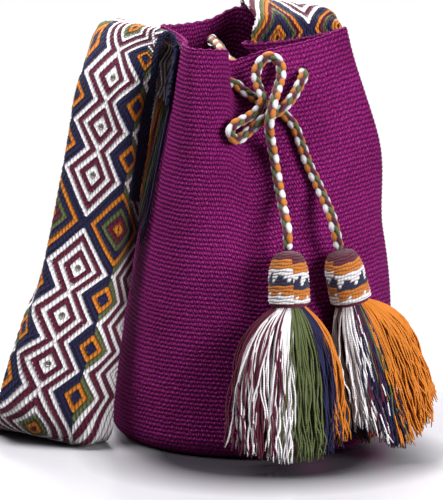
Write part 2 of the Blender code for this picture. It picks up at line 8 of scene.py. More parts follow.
import bpy
import numpy as np
from mathutils import Matrix, Vector


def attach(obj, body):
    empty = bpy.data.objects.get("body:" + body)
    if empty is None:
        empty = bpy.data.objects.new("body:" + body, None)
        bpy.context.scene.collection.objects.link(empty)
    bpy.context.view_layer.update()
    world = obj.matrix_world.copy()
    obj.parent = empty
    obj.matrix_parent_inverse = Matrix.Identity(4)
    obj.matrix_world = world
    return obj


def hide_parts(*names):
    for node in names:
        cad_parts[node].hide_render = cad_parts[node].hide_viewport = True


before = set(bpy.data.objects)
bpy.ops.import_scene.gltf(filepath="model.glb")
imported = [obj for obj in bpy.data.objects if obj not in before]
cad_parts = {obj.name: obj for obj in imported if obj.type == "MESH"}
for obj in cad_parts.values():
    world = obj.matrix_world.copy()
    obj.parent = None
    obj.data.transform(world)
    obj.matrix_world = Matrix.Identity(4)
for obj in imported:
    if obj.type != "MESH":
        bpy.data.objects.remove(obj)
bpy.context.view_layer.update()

# Samples between two points of a curve
CURVE_STEPS = 16

# Bag, as in the CAD model
BASE_RADIUS = 0.104
BAG_HEIGHT = 0.300
WALL = 0.0032
FLOOR_THICKNESS = 0.0040
BASE_EDGE_RADIUS = 0.012
MOUTH_WIDTH = 0.140
MOUTH_DEPTH = 0.150
BASE_START_ANGLE = math.radians(-85.0)

# The wall folds from these heights on, by these powers of the rise: at the right and at the left
FOLD_START = (0.085, 0.030)
FOLD_POWER = (2.0, 1.05)

# The rim, as shares of the mouth's half width, of its half depth and of the bag's height
MOUTH_OUTLINE = (
    (-0.21, -0.63, 0.930), (0.11, -0.63, 0.953), (0.57, -0.51, 0.974), (0.89, -0.32, 0.995),
    (1.00, -0.13, 1.000), (0.80, 0.00, 0.985), (0.40, 0.09, 0.965), (-0.01, 0.15, 0.955),
    (-0.01, 0.34, 0.955), (0.40, 0.47, 0.965), (0.80, 0.60, 0.975), (0.74, 0.80, 0.975),
    (0.31, 0.88, 0.985), (-0.11, 0.85, 1.030), (-0.46, 0.77, 1.000), (-0.80, 0.72, 0.988),
    (-0.97, 0.56, 0.990), (-0.87, 0.27, 0.985), (-0.76, -0.07, 0.978), (-0.69, -0.40, 0.972),
    (-0.71, -0.73, 0.972), (-0.61, -1.07, 0.970), (-0.37, -1.12, 0.968), (-0.23, -0.91, 0.962),
)

# The crochet sags outwards below the fold at the right: how far, where round the wall, how far
# round it reaches, and between which heights
SAG_DEPTH = 0.0135
SAG_PLACE = 0.236
SAG_REACH = 0.13
SAG_HEIGHTS = (0.152, 0.222, 0.293)

# Eyelets: share of the way round, and of the bag's height
EYELETS = ((0.990, 0.885), (0.083, 0.905), (0.600, 0.950), (0.660, 0.940))
EYELET_RADIUS = 0.0046

# Crochet: rounds of single crochet up the wall, stitches in a round, the height of a round, the
# number of the wall's first round counted from the base's middle, and the share of a stitch by
# which each round lags behind the one below
ROUNDS = 90
STITCHES = 160
ROUND_PITCH = 0.0033
FIRST_WALL_ROUND = 33.0
ROUND_LAG = 0.35

# Strap and its fringe, as in the CAD model
STRAP_WIDTH = 0.088
STRAP_THICKNESS = 0.0040
STRAP_SEWN_LENGTH = 0.045
STRAP_GAP = 0.0010
FOLD_CLEARANCE = 0.0012
SEWN_OFFSET = STRAP_GAP + STRAP_THICKNESS / 2
STRAP_GROUND = STRAP_GAP + STRAP_THICKNESS / 2

# A sewn end: its share of the way round, its slope in degrees, and its gap to the fringe
LEFT_END = (0.772, 0.0, 0.0007)
RIGHT_END = (0.408, 172.0, 0.0016)

# Where the hanging strap is creased and curled, and how gently, as shares of its width
CREASE_PLACE = 0.25
CURL_PLACE = 0.78
CREASE_WIDTH = 0.16

# Fringe: threads of each colour, where they draw together across it, how strongly, how much shorter
# threads are, how far their tips stand off, and their waver, along the wall and off it, with its rate
FRINGE_LENGTH = 0.112
FRINGE_GAP = 0.0018
FRINGE_COLOURS = ("white", "orange", "green", "navy")
FRINGE_THREADS = 6
FRINGE_LOCKS = np.array([0.18, 0.52, 0.85])
FRINGE_PULL = (0.3, 0.95)
FRINGE_UNEVENNESS = 0.07
FRINGE_STAND = 0.0075
FRINGE_WAVER = (0.0034, 0.0003)
FRINGE_RATE = (40, 100)

# The strap's mesh has a row at each step. In its pattern, one unit is one thread across, and one
# turn of the weave along: where the side figures' columns lie, and how long the ropes' beads are.
ROW_STEP = 0.00146
SIDE_COLUMN = 6.0
BEAD_PITCH = 0.9

# Figures down the strap's middle from its left end: d a diamond, L a large one, g a gap between
# two, with large figures at both sides. A step is the distance from figure to figure.
FIGURES = "ddLdddgdddLdddgdddLdddgdddgd"
FIRST_FIGURE = -14.8
FIGURE_STEPS = {"dd": 6.4, "dL": 8.4, "Ld": 8.4, "dg": 6.0, "gd": 6.0}
FIGURE_OFFSETS = {"d": 0.0, "L": 2.0, "g": 3.0}

# From here on, in units along, the side figures have the colours that the arch at the back shows
ARCH_START = 130.8

# Where each colour begins, in units from the middle of the nearest figure: along the strap's middle,
# and at its sides, in the front drop and in the arch
CHAIN_COLOURS = (
    (-3.0, "maroon"), (-1.5, "orange"), (-0.6, "green"), (0.4, "white"), (1.5, "maroon"),
    (2.5, "white"), (3.55, "maroon"), (4.5, "white"), (5.5, "navy"),
)
DROP_SIDE_COLOURS = (
    (-4.0, "dark"), (-2.7, "orange"), (-1.9, "maroon"), (-1.0, "green"), (0.0, "navy"), (1.0, "orange"),
    (2.0, "green"), (3.0, "white"), (4.0, "maroon"), (5.0, "white"), (6.0, "maroon"), (7.0, "white"),
)
ARCH_SIDE_COLOURS = (
    (-4.0, "dark"), (-2.5, "orange"), (-1.4, "navy"), (-0.2, "green"), (0.5, "maroon"), (1.3, "orange"),
    (2.2, "green"), (3.0, "white"), (4.0, "maroon"), (5.0, "white"), (6.0, "maroon"), (7.0, "white"),
)
RAMP_SPAN = 16.0
CHAIN_REACH = 5.5

# High in the front drop a navy edging cuts the side figures short on the bag's side, as painted shade where
# that edge lies in shadow: from how many units across, and between which units along
SHADE_EDGING_START = 7.3
SHADE_EDGING_SPAN = (-14.0, 23.2)

# How the weave lies: distance from the strap's left end, pattern units there, how far the pattern's
# middle lies towards the bag, how much its rows slant, and one unit's width, towards the outer edge
# and towards the bag, in metres
WEAVE = (
    (0.0000, -13.5, 0.0040, -0.10, 0.0050, 0.0046), (0.0760, 0.0, 0.0050, -0.15, 0.0056, 0.0046),
    (0.1010, 5.2, 0.0060, -0.20, 0.0060, 0.0044), (0.1240, 8.4, 0.0100, -0.22, 0.0060, 0.0039),
    (0.1425, 11.6, 0.0070, -0.25, 0.0051, 0.0038), (0.1622, 14.8, 0.0030, -0.31, 0.0047, 0.0038),
    (0.1982, 21.2, 0.0000, -0.22, 0.0046, 0.0038), (0.2328, 27.2, -0.0005, -0.15, 0.0047, 0.0039),
    (0.2663, 33.2, 0.0006, -0.14, 0.0048, 0.0038), (0.2841, 36.4, -0.0032, -0.15, 0.0049, 0.0040),
    (0.3025, 39.6, -0.0050, -0.12, 0.0047, 0.0042), (0.3209, 42.8, -0.0072, -0.12, 0.0048, 0.0043),
    (0.3385, 46.0, -0.0097, -0.10, 0.0049, 0.0043), (0.3571, 49.2, -0.0140, -0.09, 0.0051, 0.0044),
    (0.3930, 54.4, -0.0178, -0.08, 0.0050, 0.0046), (0.5000, 75.6, 0.0000, 0.00, 0.0042, 0.0042),
    (0.9465, 160.8, 0.0020, 0.00, 0.0040, 0.0040), (1.0100, 172.0, 0.0020, 0.00, 0.0040, 0.0040),
)

# How the strap settles under its weight: distance from its left end, how far its outer edge and its
# bag-side edge move towards the bag, and how far it sinks, in metres
SETTLING = (
    (0.000, 0.0000, 0.0000, 0.0000), (0.030, 0.0000, 0.0000, 0.0015), (0.070, 0.0050, 0.0000, 0.0040),
    (0.110, 0.0064, 0.0000, 0.0026), (0.170, 0.0064, 0.0000, 0.0000), (0.210, 0.0050, 0.0000, 0.0000),
    (0.245, 0.0040, 0.0040, 0.0000), (0.285, 0.0022, 0.0030, 0.0000), (0.300, -0.0015, 0.0010, 0.0000),
    (0.335, -0.0034, 0.0000, 0.0000), (0.370, -0.0022, 0.0000, 0.0000), (0.400, 0.0000, 0.0000, 0.0000),
    (1.010, 0.0000, 0.0000, 0.0000),
)

# Threads: how fast the plies of one turn, in radians for each metre, its radius, the share of that
# which is left at its tip, and the sides of its tube
PLY_TWIST = 3600.0
THREAD_RADIUS = 0.00066
THREAD_TIP = 0.45
THREAD_SIDES = 4

# Drawstring and tassels, as in the CAD model. A tassel's place: angle round the bag and the way it
# faces, its lean, all in degrees, how far it is tucked in, how high its tips are, the skirt's half
# widths at the left and right, and how much its sides are drawn up.
CORD_DIAMETER = 0.0070
CAP_RADIUS = 0.0150
CAP_HEIGHT = 0.0370
CAP_WALL = 0.0024
CORD_TO_CAP = 0.0034
TASSEL_LENGTH = 0.1475
SKIRT_FRONT_DEPTH = 0.0260
SKIRT_BACK_EXTRA = 0.0030
SKIRT_FLARE = 0.15
NECK_LENGTH = 0.0030
WALL_CLEARANCE = 0.0008
TASSEL_TILT = 6.0
TASSELS = {
    "left": (13.2, 13.2, 0.0, 0.0066, 0.0065, 0.0510, 0.0390, 0.10),
    "right": (32.3, 40.0, 12.0, 0.0044, 0.0081, 0.0270, 0.0520, 0.24),
}

# Hanks of each skirt: colour, where they lie across it from left, -1, to right, 1, how many
# threads, and the share of them at the back
SKIRTS = {
    "left": (
        ("maroon", -0.985, -0.36, 80, 0.20), ("white", -0.985, -0.08, 92, 0.15),
        ("green", -0.12, 0.48, 92, 0.25), ("navy", 0.44, 0.78, 55, 0.30), ("orange", 0.72, 0.985, 50, 0.30),
    ),
    "right": (
        ("white", -0.985, -0.50, 72, 0.20), ("maroon", -0.60, -0.30, 24, 0.70),
        ("green", -0.40, -0.15, 24, 0.85), ("navy", -0.60, -0.06, 80, 0.30),
        ("orange", -0.16, 0.985, 168, 0.20),
    ),
}
SKIRT_EDGE = 0.985

# Threads of a skirt: how many there are to each stray one, how wide a lock of them is, how strongly
# they are pulled to it, how far they drift, and how far strays do, as shares of the half width
THREADS_PER_STRAY = 12
LOCK_WIDTH = 0.065
LOCK_PULL = (0.15, 0.75)
DRIFT = 0.018
STRAY_DRIFT = (0.10, 0.34)

# How much shorter threads are, as a share, the size of their waver in metres, its slow and its
# quick rate in radians for each metre, and the size of the quick one beside the slow one's
UNEVENNESS = 0.024
WAVER = (0.0008, 0.0028)
SLOW_RATE = (60, 130)
QUICK_RATE = (200, 420)
QUICK_SHARE = 0.35

NECK_RADIUS = 0.90 * CAP_RADIUS - CAP_WALL
CAP_BOTTOM = CORD_TO_CAP + CAP_HEIGHT
SKIRT_TOP = CAP_BOTTOM + NECK_LENGTH
SKIRT_BOTTOM = CORD_TO_CAP + TASSEL_LENGTH

# Cap: stitches in a round, rounds, how many of them one turn climbs, where in a turn they start,
# the share of the profile above the first round, how much rounds waver, how far a stitch stands
# out, and the rows of the mesh
CAP_STITCHES = 36
CAP_ROUNDS = 18
CAP_CLIMB = 1.6
CAP_SEAM = {"left": 0.25, "right": 0.05}
CAP_DISC = 0.04
CAP_WAVER = 0.14
CAP_RELIEF = 0.0009
CAP_ROWS = 130

# The cap's colours from its top down, stitch by stitch, repeated round it
CAP_PICTURE = (
    "mmmmmmmmm", "mmmmmmmmm", "mmmmmmmmm", "mmmmmmmmm", "mmmmmmmmm", "mmmmmmmmm",
    "ooooooooo", "ooooooooo", "ooooooooo",
    "wwwwwwwww", "wwnwwwwww", "wnnwwnnww", "nnnwnnnnw", "nnnnnnnnn",
    "ooooooooo", "ooooooooo", "owooowooo", "wwwwwwwww", "wwwwwwwww", "wwwwwwwww", "wwwwwwwww",
)
CAP_THREADS = {"m": "maroon", "o": "orange", "w": "white", "n": "navy"}

# Thread wound round the neck: how many times, how far out from it, how far below the cap it starts,
# and how far down it winds
WOUND_TURNS = 3
WOUND_OUT = 0.0011
WOUND_START = 0.0004
WOUND_DROP = 0.0018

# The braid: the length of one turn, and its floats' half length and lean. The first set is broad; the
# second is narrow and lower. Then the cord's radius at a float's edge, as a share, what a float's crest
# adds to it, and the share of its colour that a float keeps at its edge, as painted shade in the grooves
# between floats.
CORD_COLOURS = (("white", "orange"), ("green", "maroon"))
BRAID_TURN = 0.0136
FLOAT_HALF_LENGTH = 0.0042
FLOAT_LEAN = math.radians(20.0)
BROAD_FLOAT = 0.0038
NARROW_FLOAT = 0.0021
LOWER_FLOATS = 0.75
CORD_CORE = 0.66
CORD_SWELL = 0.46
FLOAT_GROOVE_SHADE = 0.12
CORD_STEP = 0.00045
CORD_SIDES = 32

# Past its last point the cord ends in half a ball, which the cap swings round
CORD_BALL = 0.0036

# The cord's way, from the right tassel through the bag and the bow to the left one
CORD_ROUTE = (
    # Right tail, from its tassel up to the bow
    (0.0617, -0.0975, 0.1549), (0.0594, -0.0980, 0.1650), (0.0566, -0.0950, 0.1750),
    (0.0525, -0.0885, 0.1845), (0.0475, -0.0808, 0.1950), (0.0408, -0.0768, 0.2090),
    (0.0360, -0.0738, 0.2220), (0.0311, -0.0703, 0.2350), (0.0255, -0.0689, 0.2420),
    # Under the bow and in at the front left eyelet
    (0.0200, -0.0678, 0.2460), (0.0138, -0.0668, 0.2500), (0.0061, -0.0650, 0.2530),
    (0.0000, -0.0627, 0.2565), (-0.0060, -0.0606, 0.2605), (-0.0105, -0.0598, 0.2645),
    (-0.0140, -0.0593, 0.2655), (-0.0185, -0.0588, 0.2655),
    # Slack inside, to the back left eyelet
    (-0.0250, -0.0570, 0.2640), (-0.0330, -0.0490, 0.2600), (-0.0390, -0.0350, 0.2560),
    (-0.0430, -0.0170, 0.2540), (-0.0460, 0.0010, 0.2545), (-0.0500, 0.0180, 0.2590),
    (-0.0540, 0.0310, 0.2680), (-0.0568, 0.0410, 0.2780), (-0.0590, 0.0466, 0.2818),
    (-0.0623, 0.0516, 0.2820), (-0.0648, 0.0556, 0.2822),
    # Outside along the back wall, in at the back eyelet and across to the right one
    (-0.0648, 0.0605, 0.2830), (-0.0600, 0.0622, 0.2838), (-0.0527, 0.0606, 0.2845),
    (-0.0450, 0.0628, 0.2850), (-0.0405, 0.0670, 0.2852), (-0.0362, 0.0702, 0.2852),
    (-0.0318, 0.0694, 0.2851), (-0.0300, 0.0645, 0.2850), (-0.0295, 0.0600, 0.2850),
    (-0.0285, 0.0560, 0.2848), (-0.0265, 0.0500, 0.2840), (-0.0235, 0.0360, 0.2820),
    (-0.0205, 0.0200, 0.2790), (-0.0165, 0.0060, 0.2755), (-0.0080, -0.0060, 0.2720),
    (0.0040, -0.0155, 0.2695), (0.0170, -0.0235, 0.2685), (0.0280, -0.0315, 0.2695),
    (0.0340, -0.0390, 0.2710), (0.0362, -0.0456, 0.2715), (0.0376, -0.0505, 0.2715),
    # The bow: down over the front, round the lower loop, up round the top loop and down again
    (0.0376, -0.0550, 0.2700), (0.0352, -0.0590, 0.2655), (0.0315, -0.0640, 0.2590),
    (0.0275, -0.0706, 0.2540), (0.0230, -0.0750, 0.2500), (0.0175, -0.0766, 0.2460),
    (0.0113, -0.0770, 0.2430), (0.0055, -0.0779, 0.2390), (-0.0006, -0.0785, 0.2340),
    (-0.0065, -0.0834, 0.2295), (-0.0112, -0.0872, 0.2285), (-0.0146, -0.0885, 0.2330),
    (-0.0122, -0.0862, 0.2385), (-0.0040, -0.0790, 0.2420), (0.0035, -0.0752, 0.2465),
    (0.0074, -0.0750, 0.2515), (0.0081, -0.0722, 0.2570), (0.0050, -0.0660, 0.2640),
    (0.0036, -0.0612, 0.2710), (0.0056, -0.0578, 0.2780), (0.0106, -0.0550, 0.2830),
    (0.0163, -0.0545, 0.2830), (0.0209, -0.0572, 0.2780), (0.0213, -0.0630, 0.2700),
    (0.0189, -0.0705, 0.2630), (0.0166, -0.0785, 0.2560),
    # Left tail, down to its tassel
    (0.0145, -0.0832, 0.2490), (0.0132, -0.0850, 0.2420), (0.0130, -0.0835, 0.2345),
    (0.0142, -0.0808, 0.2260), (0.0166, -0.0810, 0.2130), (0.0188, -0.0850, 0.2000),
    (0.0207, -0.0900, 0.1900), (0.0226, -0.0968, 0.1810), (0.0245, -0.1045, 0.1725),
    (0.0256, -0.1090, 0.1655), (0.0258, -0.1102, 0.1566),
)


def linear(red, green, blue):
    """A colour given as screen values from 0 to 255, as the renderer's linear values."""
    return tuple((value / 255.0) ** 2.2 for value in (red, green, blue))


# Plum of the crochet: a painted highlight on the stitches' tops, the plain colour, and painted shade
# between the stitches
PLUM_PAINTED_HIGHLIGHT = linear(160, 46, 128)
PLUM = linear(110, 20, 86)
PLUM_PAINTED_SHADE = linear(32, 2, 26)
THREAD = {
    "white": linear(246, 240, 244),
    "maroon": linear(92, 20, 48),
    "orange": linear(206, 120, 38),
    "green": linear(92, 100, 62),
    "navy": linear(30, 28, 66),
}
STRAP_THREAD = {**THREAD, "dark": linear(34, 22, 30)}
# Painted shade in the strap's grooves, between its ropes and beads
GROOVE_SHADE = (0.16, 0.12, 0.17)
PAINT_SHADE = (0.02, 0.015, 0.02)
# Painted shade in the grooves between a thread's plies, as a share of its colour
PLY_SHADE = 0.45


# Curves, as in the CAD model

def catmull_rom(before, start, end, after, t):
    """Point at t, from 0 to 1, of the spline span between start and end."""
    slope = end - before
    bend = 2 * before - 5 * start + 4 * end - after
    twist = 3 * start - before - 3 * end + after
    return start + 0.5 * t * (slope + t * (bend + t * twist))


def closed_curve(points, steps):
    """Smooth closed curve through the points, with steps samples a span."""
    before, start, end, after = (np.roll(points, shift, axis=0)[:, None] for shift in (1, 0, -1, -2))
    t = (np.arange(steps) / steps)[None, :, None]
    return catmull_rom(before, start, end, after, t).reshape(-1, points.shape[1])


def open_curve(points, steps):
    """Smooth curve through points, or a smooth surface through whole rows of points."""
    ends = np.concatenate([2 * points[:1] - points[1:2], points, 2 * points[-1:] - points[-2:-1]])
    t = (np.arange(steps) / steps).reshape(1, steps, *[1] * (points.ndim - 1))
    before, start, end, after = (ends[shift:len(ends) - 3 + shift, None] for shift in range(4))
    spans = catmull_rom(before, start, end, after, t).reshape(-1, *points.shape[1:])
    return np.concatenate([spans, points[-1:]])


def lengths_along(points):
    """Distance from the first point to each point, measured along the polyline."""
    steps = np.linalg.norm(np.diff(points, axis=0), axis=1)
    return np.concatenate([[0.0], np.cumsum(steps)])


def evenly(points, count):
    """Points, or rows of points, at equal steps along the line through their middles."""
    middle = points if points.ndim == 2 else points[:, points.shape[1] // 2]
    along = lengths_along(middle)
    wanted = np.linspace(0.0, along[-1], count)
    columns = points.reshape(len(points), -1).T
    even = np.stack([np.interp(wanted, along, column) for column in columns], axis=-1)
    return even.reshape(count, *points.shape[1:])


def unit(vectors):
    """The same directions with length 1."""
    return vectors / np.maximum(np.linalg.norm(vectors, axis=-1, keepdims=True), 1e-12)


def smooth_step(share):
    """From 0 to 1 with level ends, as 3 x squared less 2 x cubed."""
    share = np.clip(share, 0.0, 1.0)
    return share * share * (3 - 2 * share)


def fraction(values):
    """What is left of each value above its whole number."""
    return values - np.floor(values)


# The bag's wall, as in the CAD model

def rim_curve():
    """The rim as a dense closed polyline, with each point's share of the way round."""
    scale = np.array([MOUTH_WIDTH / 2, MOUTH_DEPTH / 2, BAG_HEIGHT])
    curve = closed_curve(np.array(MOUTH_OUTLINE) * scale, CURVE_STEPS)
    curve = np.vstack([curve, curve[:1]])
    shares = lengths_along(curve[:, :2])
    return shares / shares[-1], curve


RIM_SHARES, RIM_POINTS = rim_curve()


def rim_point(around):
    """Point of the rim at a share of the way round, from the front valley towards +X."""
    columns = [np.interp(around, RIM_SHARES, column, period=1.0) for column in RIM_POINTS.T]
    return np.stack(columns, axis=-1)


def wall_plan(around, height):
    """Plan of the wall's outer face: the base circle low down, turning into the folded rim.

    The way from circle to rim is gone by a power of the rise above the fold's start. Both the
    power and the start change smoothly from the right side to the left."""
    rim = rim_point(around)
    angle = BASE_START_ANGLE + 2 * math.pi * around
    circle = BASE_RADIUS * np.stack([np.cos(angle), np.sin(angle)], axis=-1)
    leftness = (0.5 - 0.5 * np.cos(angle)) ** 2
    start = FOLD_START[0] + (FOLD_START[1] - FOLD_START[0]) * leftness
    power = FOLD_POWER[0] + (FOLD_POWER[1] - FOLD_POWER[0]) * leftness
    rise = np.clip((height - start) / (rim[..., 2] - start), 0.0, 1.0)
    plan = circle + (rim[..., :2] - circle) * (rise**power)[..., None]
    from_sag = np.abs(fraction(around - SAG_PLACE + 0.5) - 0.5)
    level = np.interp(height, SAG_HEIGHTS, (0.0, 1.0, 0.0))
    sag = SAG_DEPTH * smooth_step(1 - from_sag / SAG_REACH) * smooth_step(level)
    return plan + sag[..., None] * circle / BASE_RADIUS


def wall_normal(around, height):
    """Level unit vector that points out of the wall."""
    ahead = unit(wall_plan(around + 0.003, height) - wall_plan(around - 0.003, height))
    return np.stack([ahead[..., 1], -ahead[..., 0]], axis=-1)


def wall_point(around, height, offset=0.0):
    """Point at a distance outside the wall's outer face."""
    around, height = np.broadcast_arrays(np.asarray(around, float), np.asarray(height, float))
    plan = wall_plan(around, height) + np.asarray(offset)[..., None] * wall_normal(around, height)
    return np.concatenate([plan, height[..., None]], axis=-1)


# Materials

def math_node(operation):
    """A method of Value that adds a Math node of one operation."""
    return lambda value, *others: value.math(operation, *others)


class Value:
    """A number, colour or vector in a material. Arithmetic on it adds Math nodes."""

    def __init__(self, finish, socket):
        self.finish = finish
        self.socket = socket

    def math(self, operation, *others):
        return self.finish.node("ShaderNodeMath", {"operation": operation}, [self, *others])

    def __rsub__(self, other):
        return self * -1.0 + other

    def clamped(self):
        return self.larger(0.0).smaller(1.0)

    __add__ = __radd__ = math_node("ADD")
    __sub__ = math_node("SUBTRACT")
    __mul__ = __rmul__ = math_node("MULTIPLY")
    __truediv__ = math_node("DIVIDE")
    __pow__ = math_node("POWER")
    fraction = math_node("FRACT")
    floor = math_node("FLOOR")
    size = math_node("ABSOLUTE")
    sine = math_node("SINE")
    cosine = math_node("COSINE")
    larger = math_node("MAXIMUM")
    smaller = math_node("MINIMUM")
    above = math_node("GREATER_THAN")


class Finish:
    """A material made node by node round one Principled shader."""

    def __init__(self, name, roughness, sheen=0.0, specular=0.25):
        self.material = bpy.data.materials.new(name)
        self.material.use_nodes = True
        self.tree = self.material.node_tree
        self.shader = self.tree.nodes["Principled BSDF"]
        self.shader.inputs["Roughness"].default_value = roughness
        self.shader.inputs["Sheen Weight"].default_value = sheen
        self.shader.inputs["Sheen Roughness"].default_value = 0.5
        self.shader.inputs["Specular IOR Level"].default_value = specular

    def node(self, kind, settings=None, inputs=(), output=0):
        """Adds a node. Settings come first, then the values or links of its sockets."""
        made = self.tree.nodes.new(kind)
        for name, value in (settings or {}).items():
            setattr(made, name, value)
        pairs = inputs.items() if isinstance(inputs, dict) else enumerate(inputs)
        for key, value in pairs:
            self.feed(made.inputs[key], value)
        return Value(self, made.outputs[output])

    def feed(self, socket, value):
        if isinstance(value, Value):
            self.tree.links.new(value.socket, socket)
        else:
            socket.default_value = value

    def attribute(self, name, output="Fac"):
        return self.node("ShaderNodeAttribute", {"attribute_name": name}, output=output)

    def ramp(self, value, span, stops, smooth=False):
        """Colour by value: each stop is where its colour begins. The ramp starts at the first stop
        and is span long. Smooth colours blend from stop to stop."""
        low = stops[0][0]
        made = self.tree.nodes.new("ShaderNodeValToRGB")
        ramp = made.color_ramp
        ramp.interpolation = "LINEAR" if smooth else "CONSTANT"
        while len(ramp.elements) < len(stops):
            ramp.elements.new(0.5)
        for element, (place, colour) in zip(ramp.elements, stops):
            element.position = (place - low) / span
            element.color = (*colour, 1.0)
        self.feed(made.inputs[0], (value - low) / span)
        return Value(self, made.outputs[0])

    def mix(self, share, first, second, blend="MIX"):
        """Mixes two colours by a share from 0, the first, to 1, the second."""
        first, second = ((*c, 1.0) if isinstance(c, tuple) else c for c in (first, second))
        return self.node("ShaderNodeMix", {"data_type": "RGBA", "blend_type": blend},
                         {0: share, 6: first, 7: second}, output=2)

    def parts(self, value):
        """The three parts of a vector."""
        made = self.tree.nodes.new("ShaderNodeSeparateXYZ")
        self.feed(made.inputs[0], value)
        return [Value(self, socket) for socket in made.outputs]

    def noise(self, place, scale, detail=2.0):
        return self.node("ShaderNodeTexNoise", None, {"Vector": place, "Scale": scale, "Detail": detail})

    def object_place(self):
        return self.node("ShaderNodeTexCoord", output="Object")

    def bump(self, height, distance):
        return self.node("ShaderNodeBump", None, {"Height": height, "Distance": distance, "Strength": 1.0})

    def done(self, colour, normal=None):
        self.feed(self.shader.inputs["Base Color"], colour)
        if normal:
            self.feed(self.shader.inputs["Normal"], normal)
        return self.material


def stitch_leg(part, rise, place, slant, half_width):
    """Height of one leg of a stitch: 1 less the square of the share of its half width from its
    middle line, which slants as it rises."""
    return 1.0 - ((part - place + (rise - 0.5) * slant) / half_width).size() ** 2.0


def crochet_relief(finish):
    """Single crochet from the piece's own map, one unit a stitch and one a round, and its fuzz.

    Every stitch is two slanting legs, the right one lower; the rounds' edges are scalloped by the
    stitches and waver a little. The relief is the legs' height times the root of half a sine wave
    up the round, and runs from 0, between stitches, to about 1."""
    across, up = finish.parts(finish.node("ShaderNodeUVMap"))[:2]
    place = finish.object_place()
    upwards = finish.noise(place, 150.0) - 0.5
    sideways = finish.noise(place, 260.0) - 0.5
    across = across + up.floor() * ROUND_LAG + sideways * 0.9
    up = up + upwards * 0.80 + (across * (2.0 * math.pi)).cosine() * 0.12
    rise, part = up.fraction(), across.fraction()
    left = stitch_leg(part, rise, 0.27, 0.30, 0.22)
    right = stitch_leg(part, rise, 0.77, 0.42, 0.21)
    legs = left.larger(right * 0.75).clamped()
    row = (rise * math.pi).sine() ** 0.5
    return row * (legs * 0.56 + 0.44), finish.noise(place, 1000.0, 3.0)


def crochet_finish():
    """Plum thread: painted light on the stitches, and painted shade, nearly black-purple, between them."""
    finish = Finish("plum_crochet", roughness=0.88, specular=0.12)
    relief, fuzz = crochet_relief(finish)
    patch = finish.noise(finish.object_place(), 26.0)
    # Painted light and shade from the stitches' relief, with random tone from the fuzz and the patches:
    # lighter on the stitches, nearly black between them
    shade = (relief * 0.95 + fuzz * 0.75 + patch * 0.30 - 0.52).clamped()
    stops = ((0.0, PLUM_PAINTED_SHADE), (0.55, PLUM), (1.0, PLUM_PAINTED_HIGHLIGHT))
    colour = finish.ramp(shade, 1.0, stops, smooth=True)
    return finish.done(colour, finish.bump(relief + fuzz * 0.30, 0.0016))


def strap_rope(band, lean):
    """Ridge and beads of the ropes: powers of a cosine across each band of the pattern, and of one
    that runs aslant along it."""
    ridge = (band * math.pi).cosine().size() ** 0.55
    bead = ((lean / BEAD_PITCH + band * 0.5) * math.pi).cosine().size() ** 0.45
    return ridge, bead


def strap_colours(finish, distance, table):
    """Colours of one set of figures, by the distance from the middle of the nearest."""
    return finish.ramp(distance, RAMP_SPAN, [(start, STRAP_THREAD[name]) for start, name in table])


def strap_finish():
    """Nested diamonds by distance from the nearest centre, in ropes of oblique interlacing.

    Chain and side are those distances, in pattern units; a colour begins at each step of them.
    The chain's figures end where its distance passes its reach, and side figures take over."""
    finish = Finish("strap_pattern", roughness=0.9, sheen=0.06)
    names = ("chain", "chain_lean", "side", "side_lean", "across", "arch", "shade_edging")
    chain, chain_lean, side, side_lean, across, arch, shade_edging = (finish.attribute(name) for name in names)
    fuzz = finish.noise(finish.object_place(), 900.0, 3.0)
    chain_ridge, chain_bead = strap_rope(chain, chain_lean)
    side_ridge, side_bead = strap_rope(side - 0.5, side_lean)
    wobble = (fuzz - 0.5) * 0.50
    chain_edge = chain + wobble + (chain_bead - 0.6) * 0.22
    side_edge = side + wobble + (side_bead - 0.6) * 0.22
    chain_colour = strap_colours(finish, chain_edge, CHAIN_COLOURS)
    drop_colour = strap_colours(finish, side_edge, DROP_SIDE_COLOURS)
    arch_colour = strap_colours(finish, side_edge, ARCH_SIDE_COLOURS)
    side_colour = finish.mix(arch, drop_colour, arch_colour)
    inner = side_edge.above(2.0) * (1.0 - across.size().above(SIDE_COLUMN))
    side_colour = finish.mix(inner, side_colour, THREAD["navy"])
    # Navy thread painted as shade along the bag-side edge, high in the front drop
    shaded_edging = shade_edging * (across + wobble).above(SHADE_EDGING_START)
    side_colour = finish.mix(shaded_edging, side_colour, THREAD["navy"])
    beyond = chain_edge.above(CHAIN_REACH)
    colour = finish.mix(beyond, chain_colour, side_colour)
    ridge = chain_ridge * (1.0 - beyond) + side_ridge * beyond
    bead = chain_bead * (1.0 - beyond) + side_bead * beyond
    height = ridge * (bead * 0.7 + 0.3)
    # Painted shade: the colours darken towards GROOVE_SHADE in the grooves between ropes and beads
    unshaded_share = (height * 1.5 + fuzz * 0.3 - 0.25).clamped()
    shade = finish.mix(unshaded_share, GROOVE_SHADE, (1.0, 1.0, 1.0))
    colour = finish.mix(1.0, colour, shade, "MULTIPLY")
    return finish.done(colour, finish.bump(height + fuzz * 0.15, 0.0022))


def thread_finish(name, colour):
    """Plied thread: two plies that wind round each other, with painted shade in the grooves between them,
    each thread lighter or darker than the next. Along, turn and phase give the ply's sine wave; tint gives
    the thread's own tone."""
    finish = Finish(name, roughness=0.75, sheen=0.08)
    dark = tuple(PLY_SHADE * value for value in colour)
    along, turn, tint, phase = (finish.attribute(label) for label in ("along", "turn", "tint", "phase"))
    ply = (along * PLY_TWIST + (turn + phase) * (2.0 * math.pi)).sine() * 0.5 + 0.5
    base = finish.mix(tint * 0.8 + 0.2, dark, colour)
    # Painted shade where the plies dip
    shaded = finish.mix(ply, dark, base)
    return finish.done(finish.mix(0.35, base, shaded), finish.bump(ply, 0.00012))


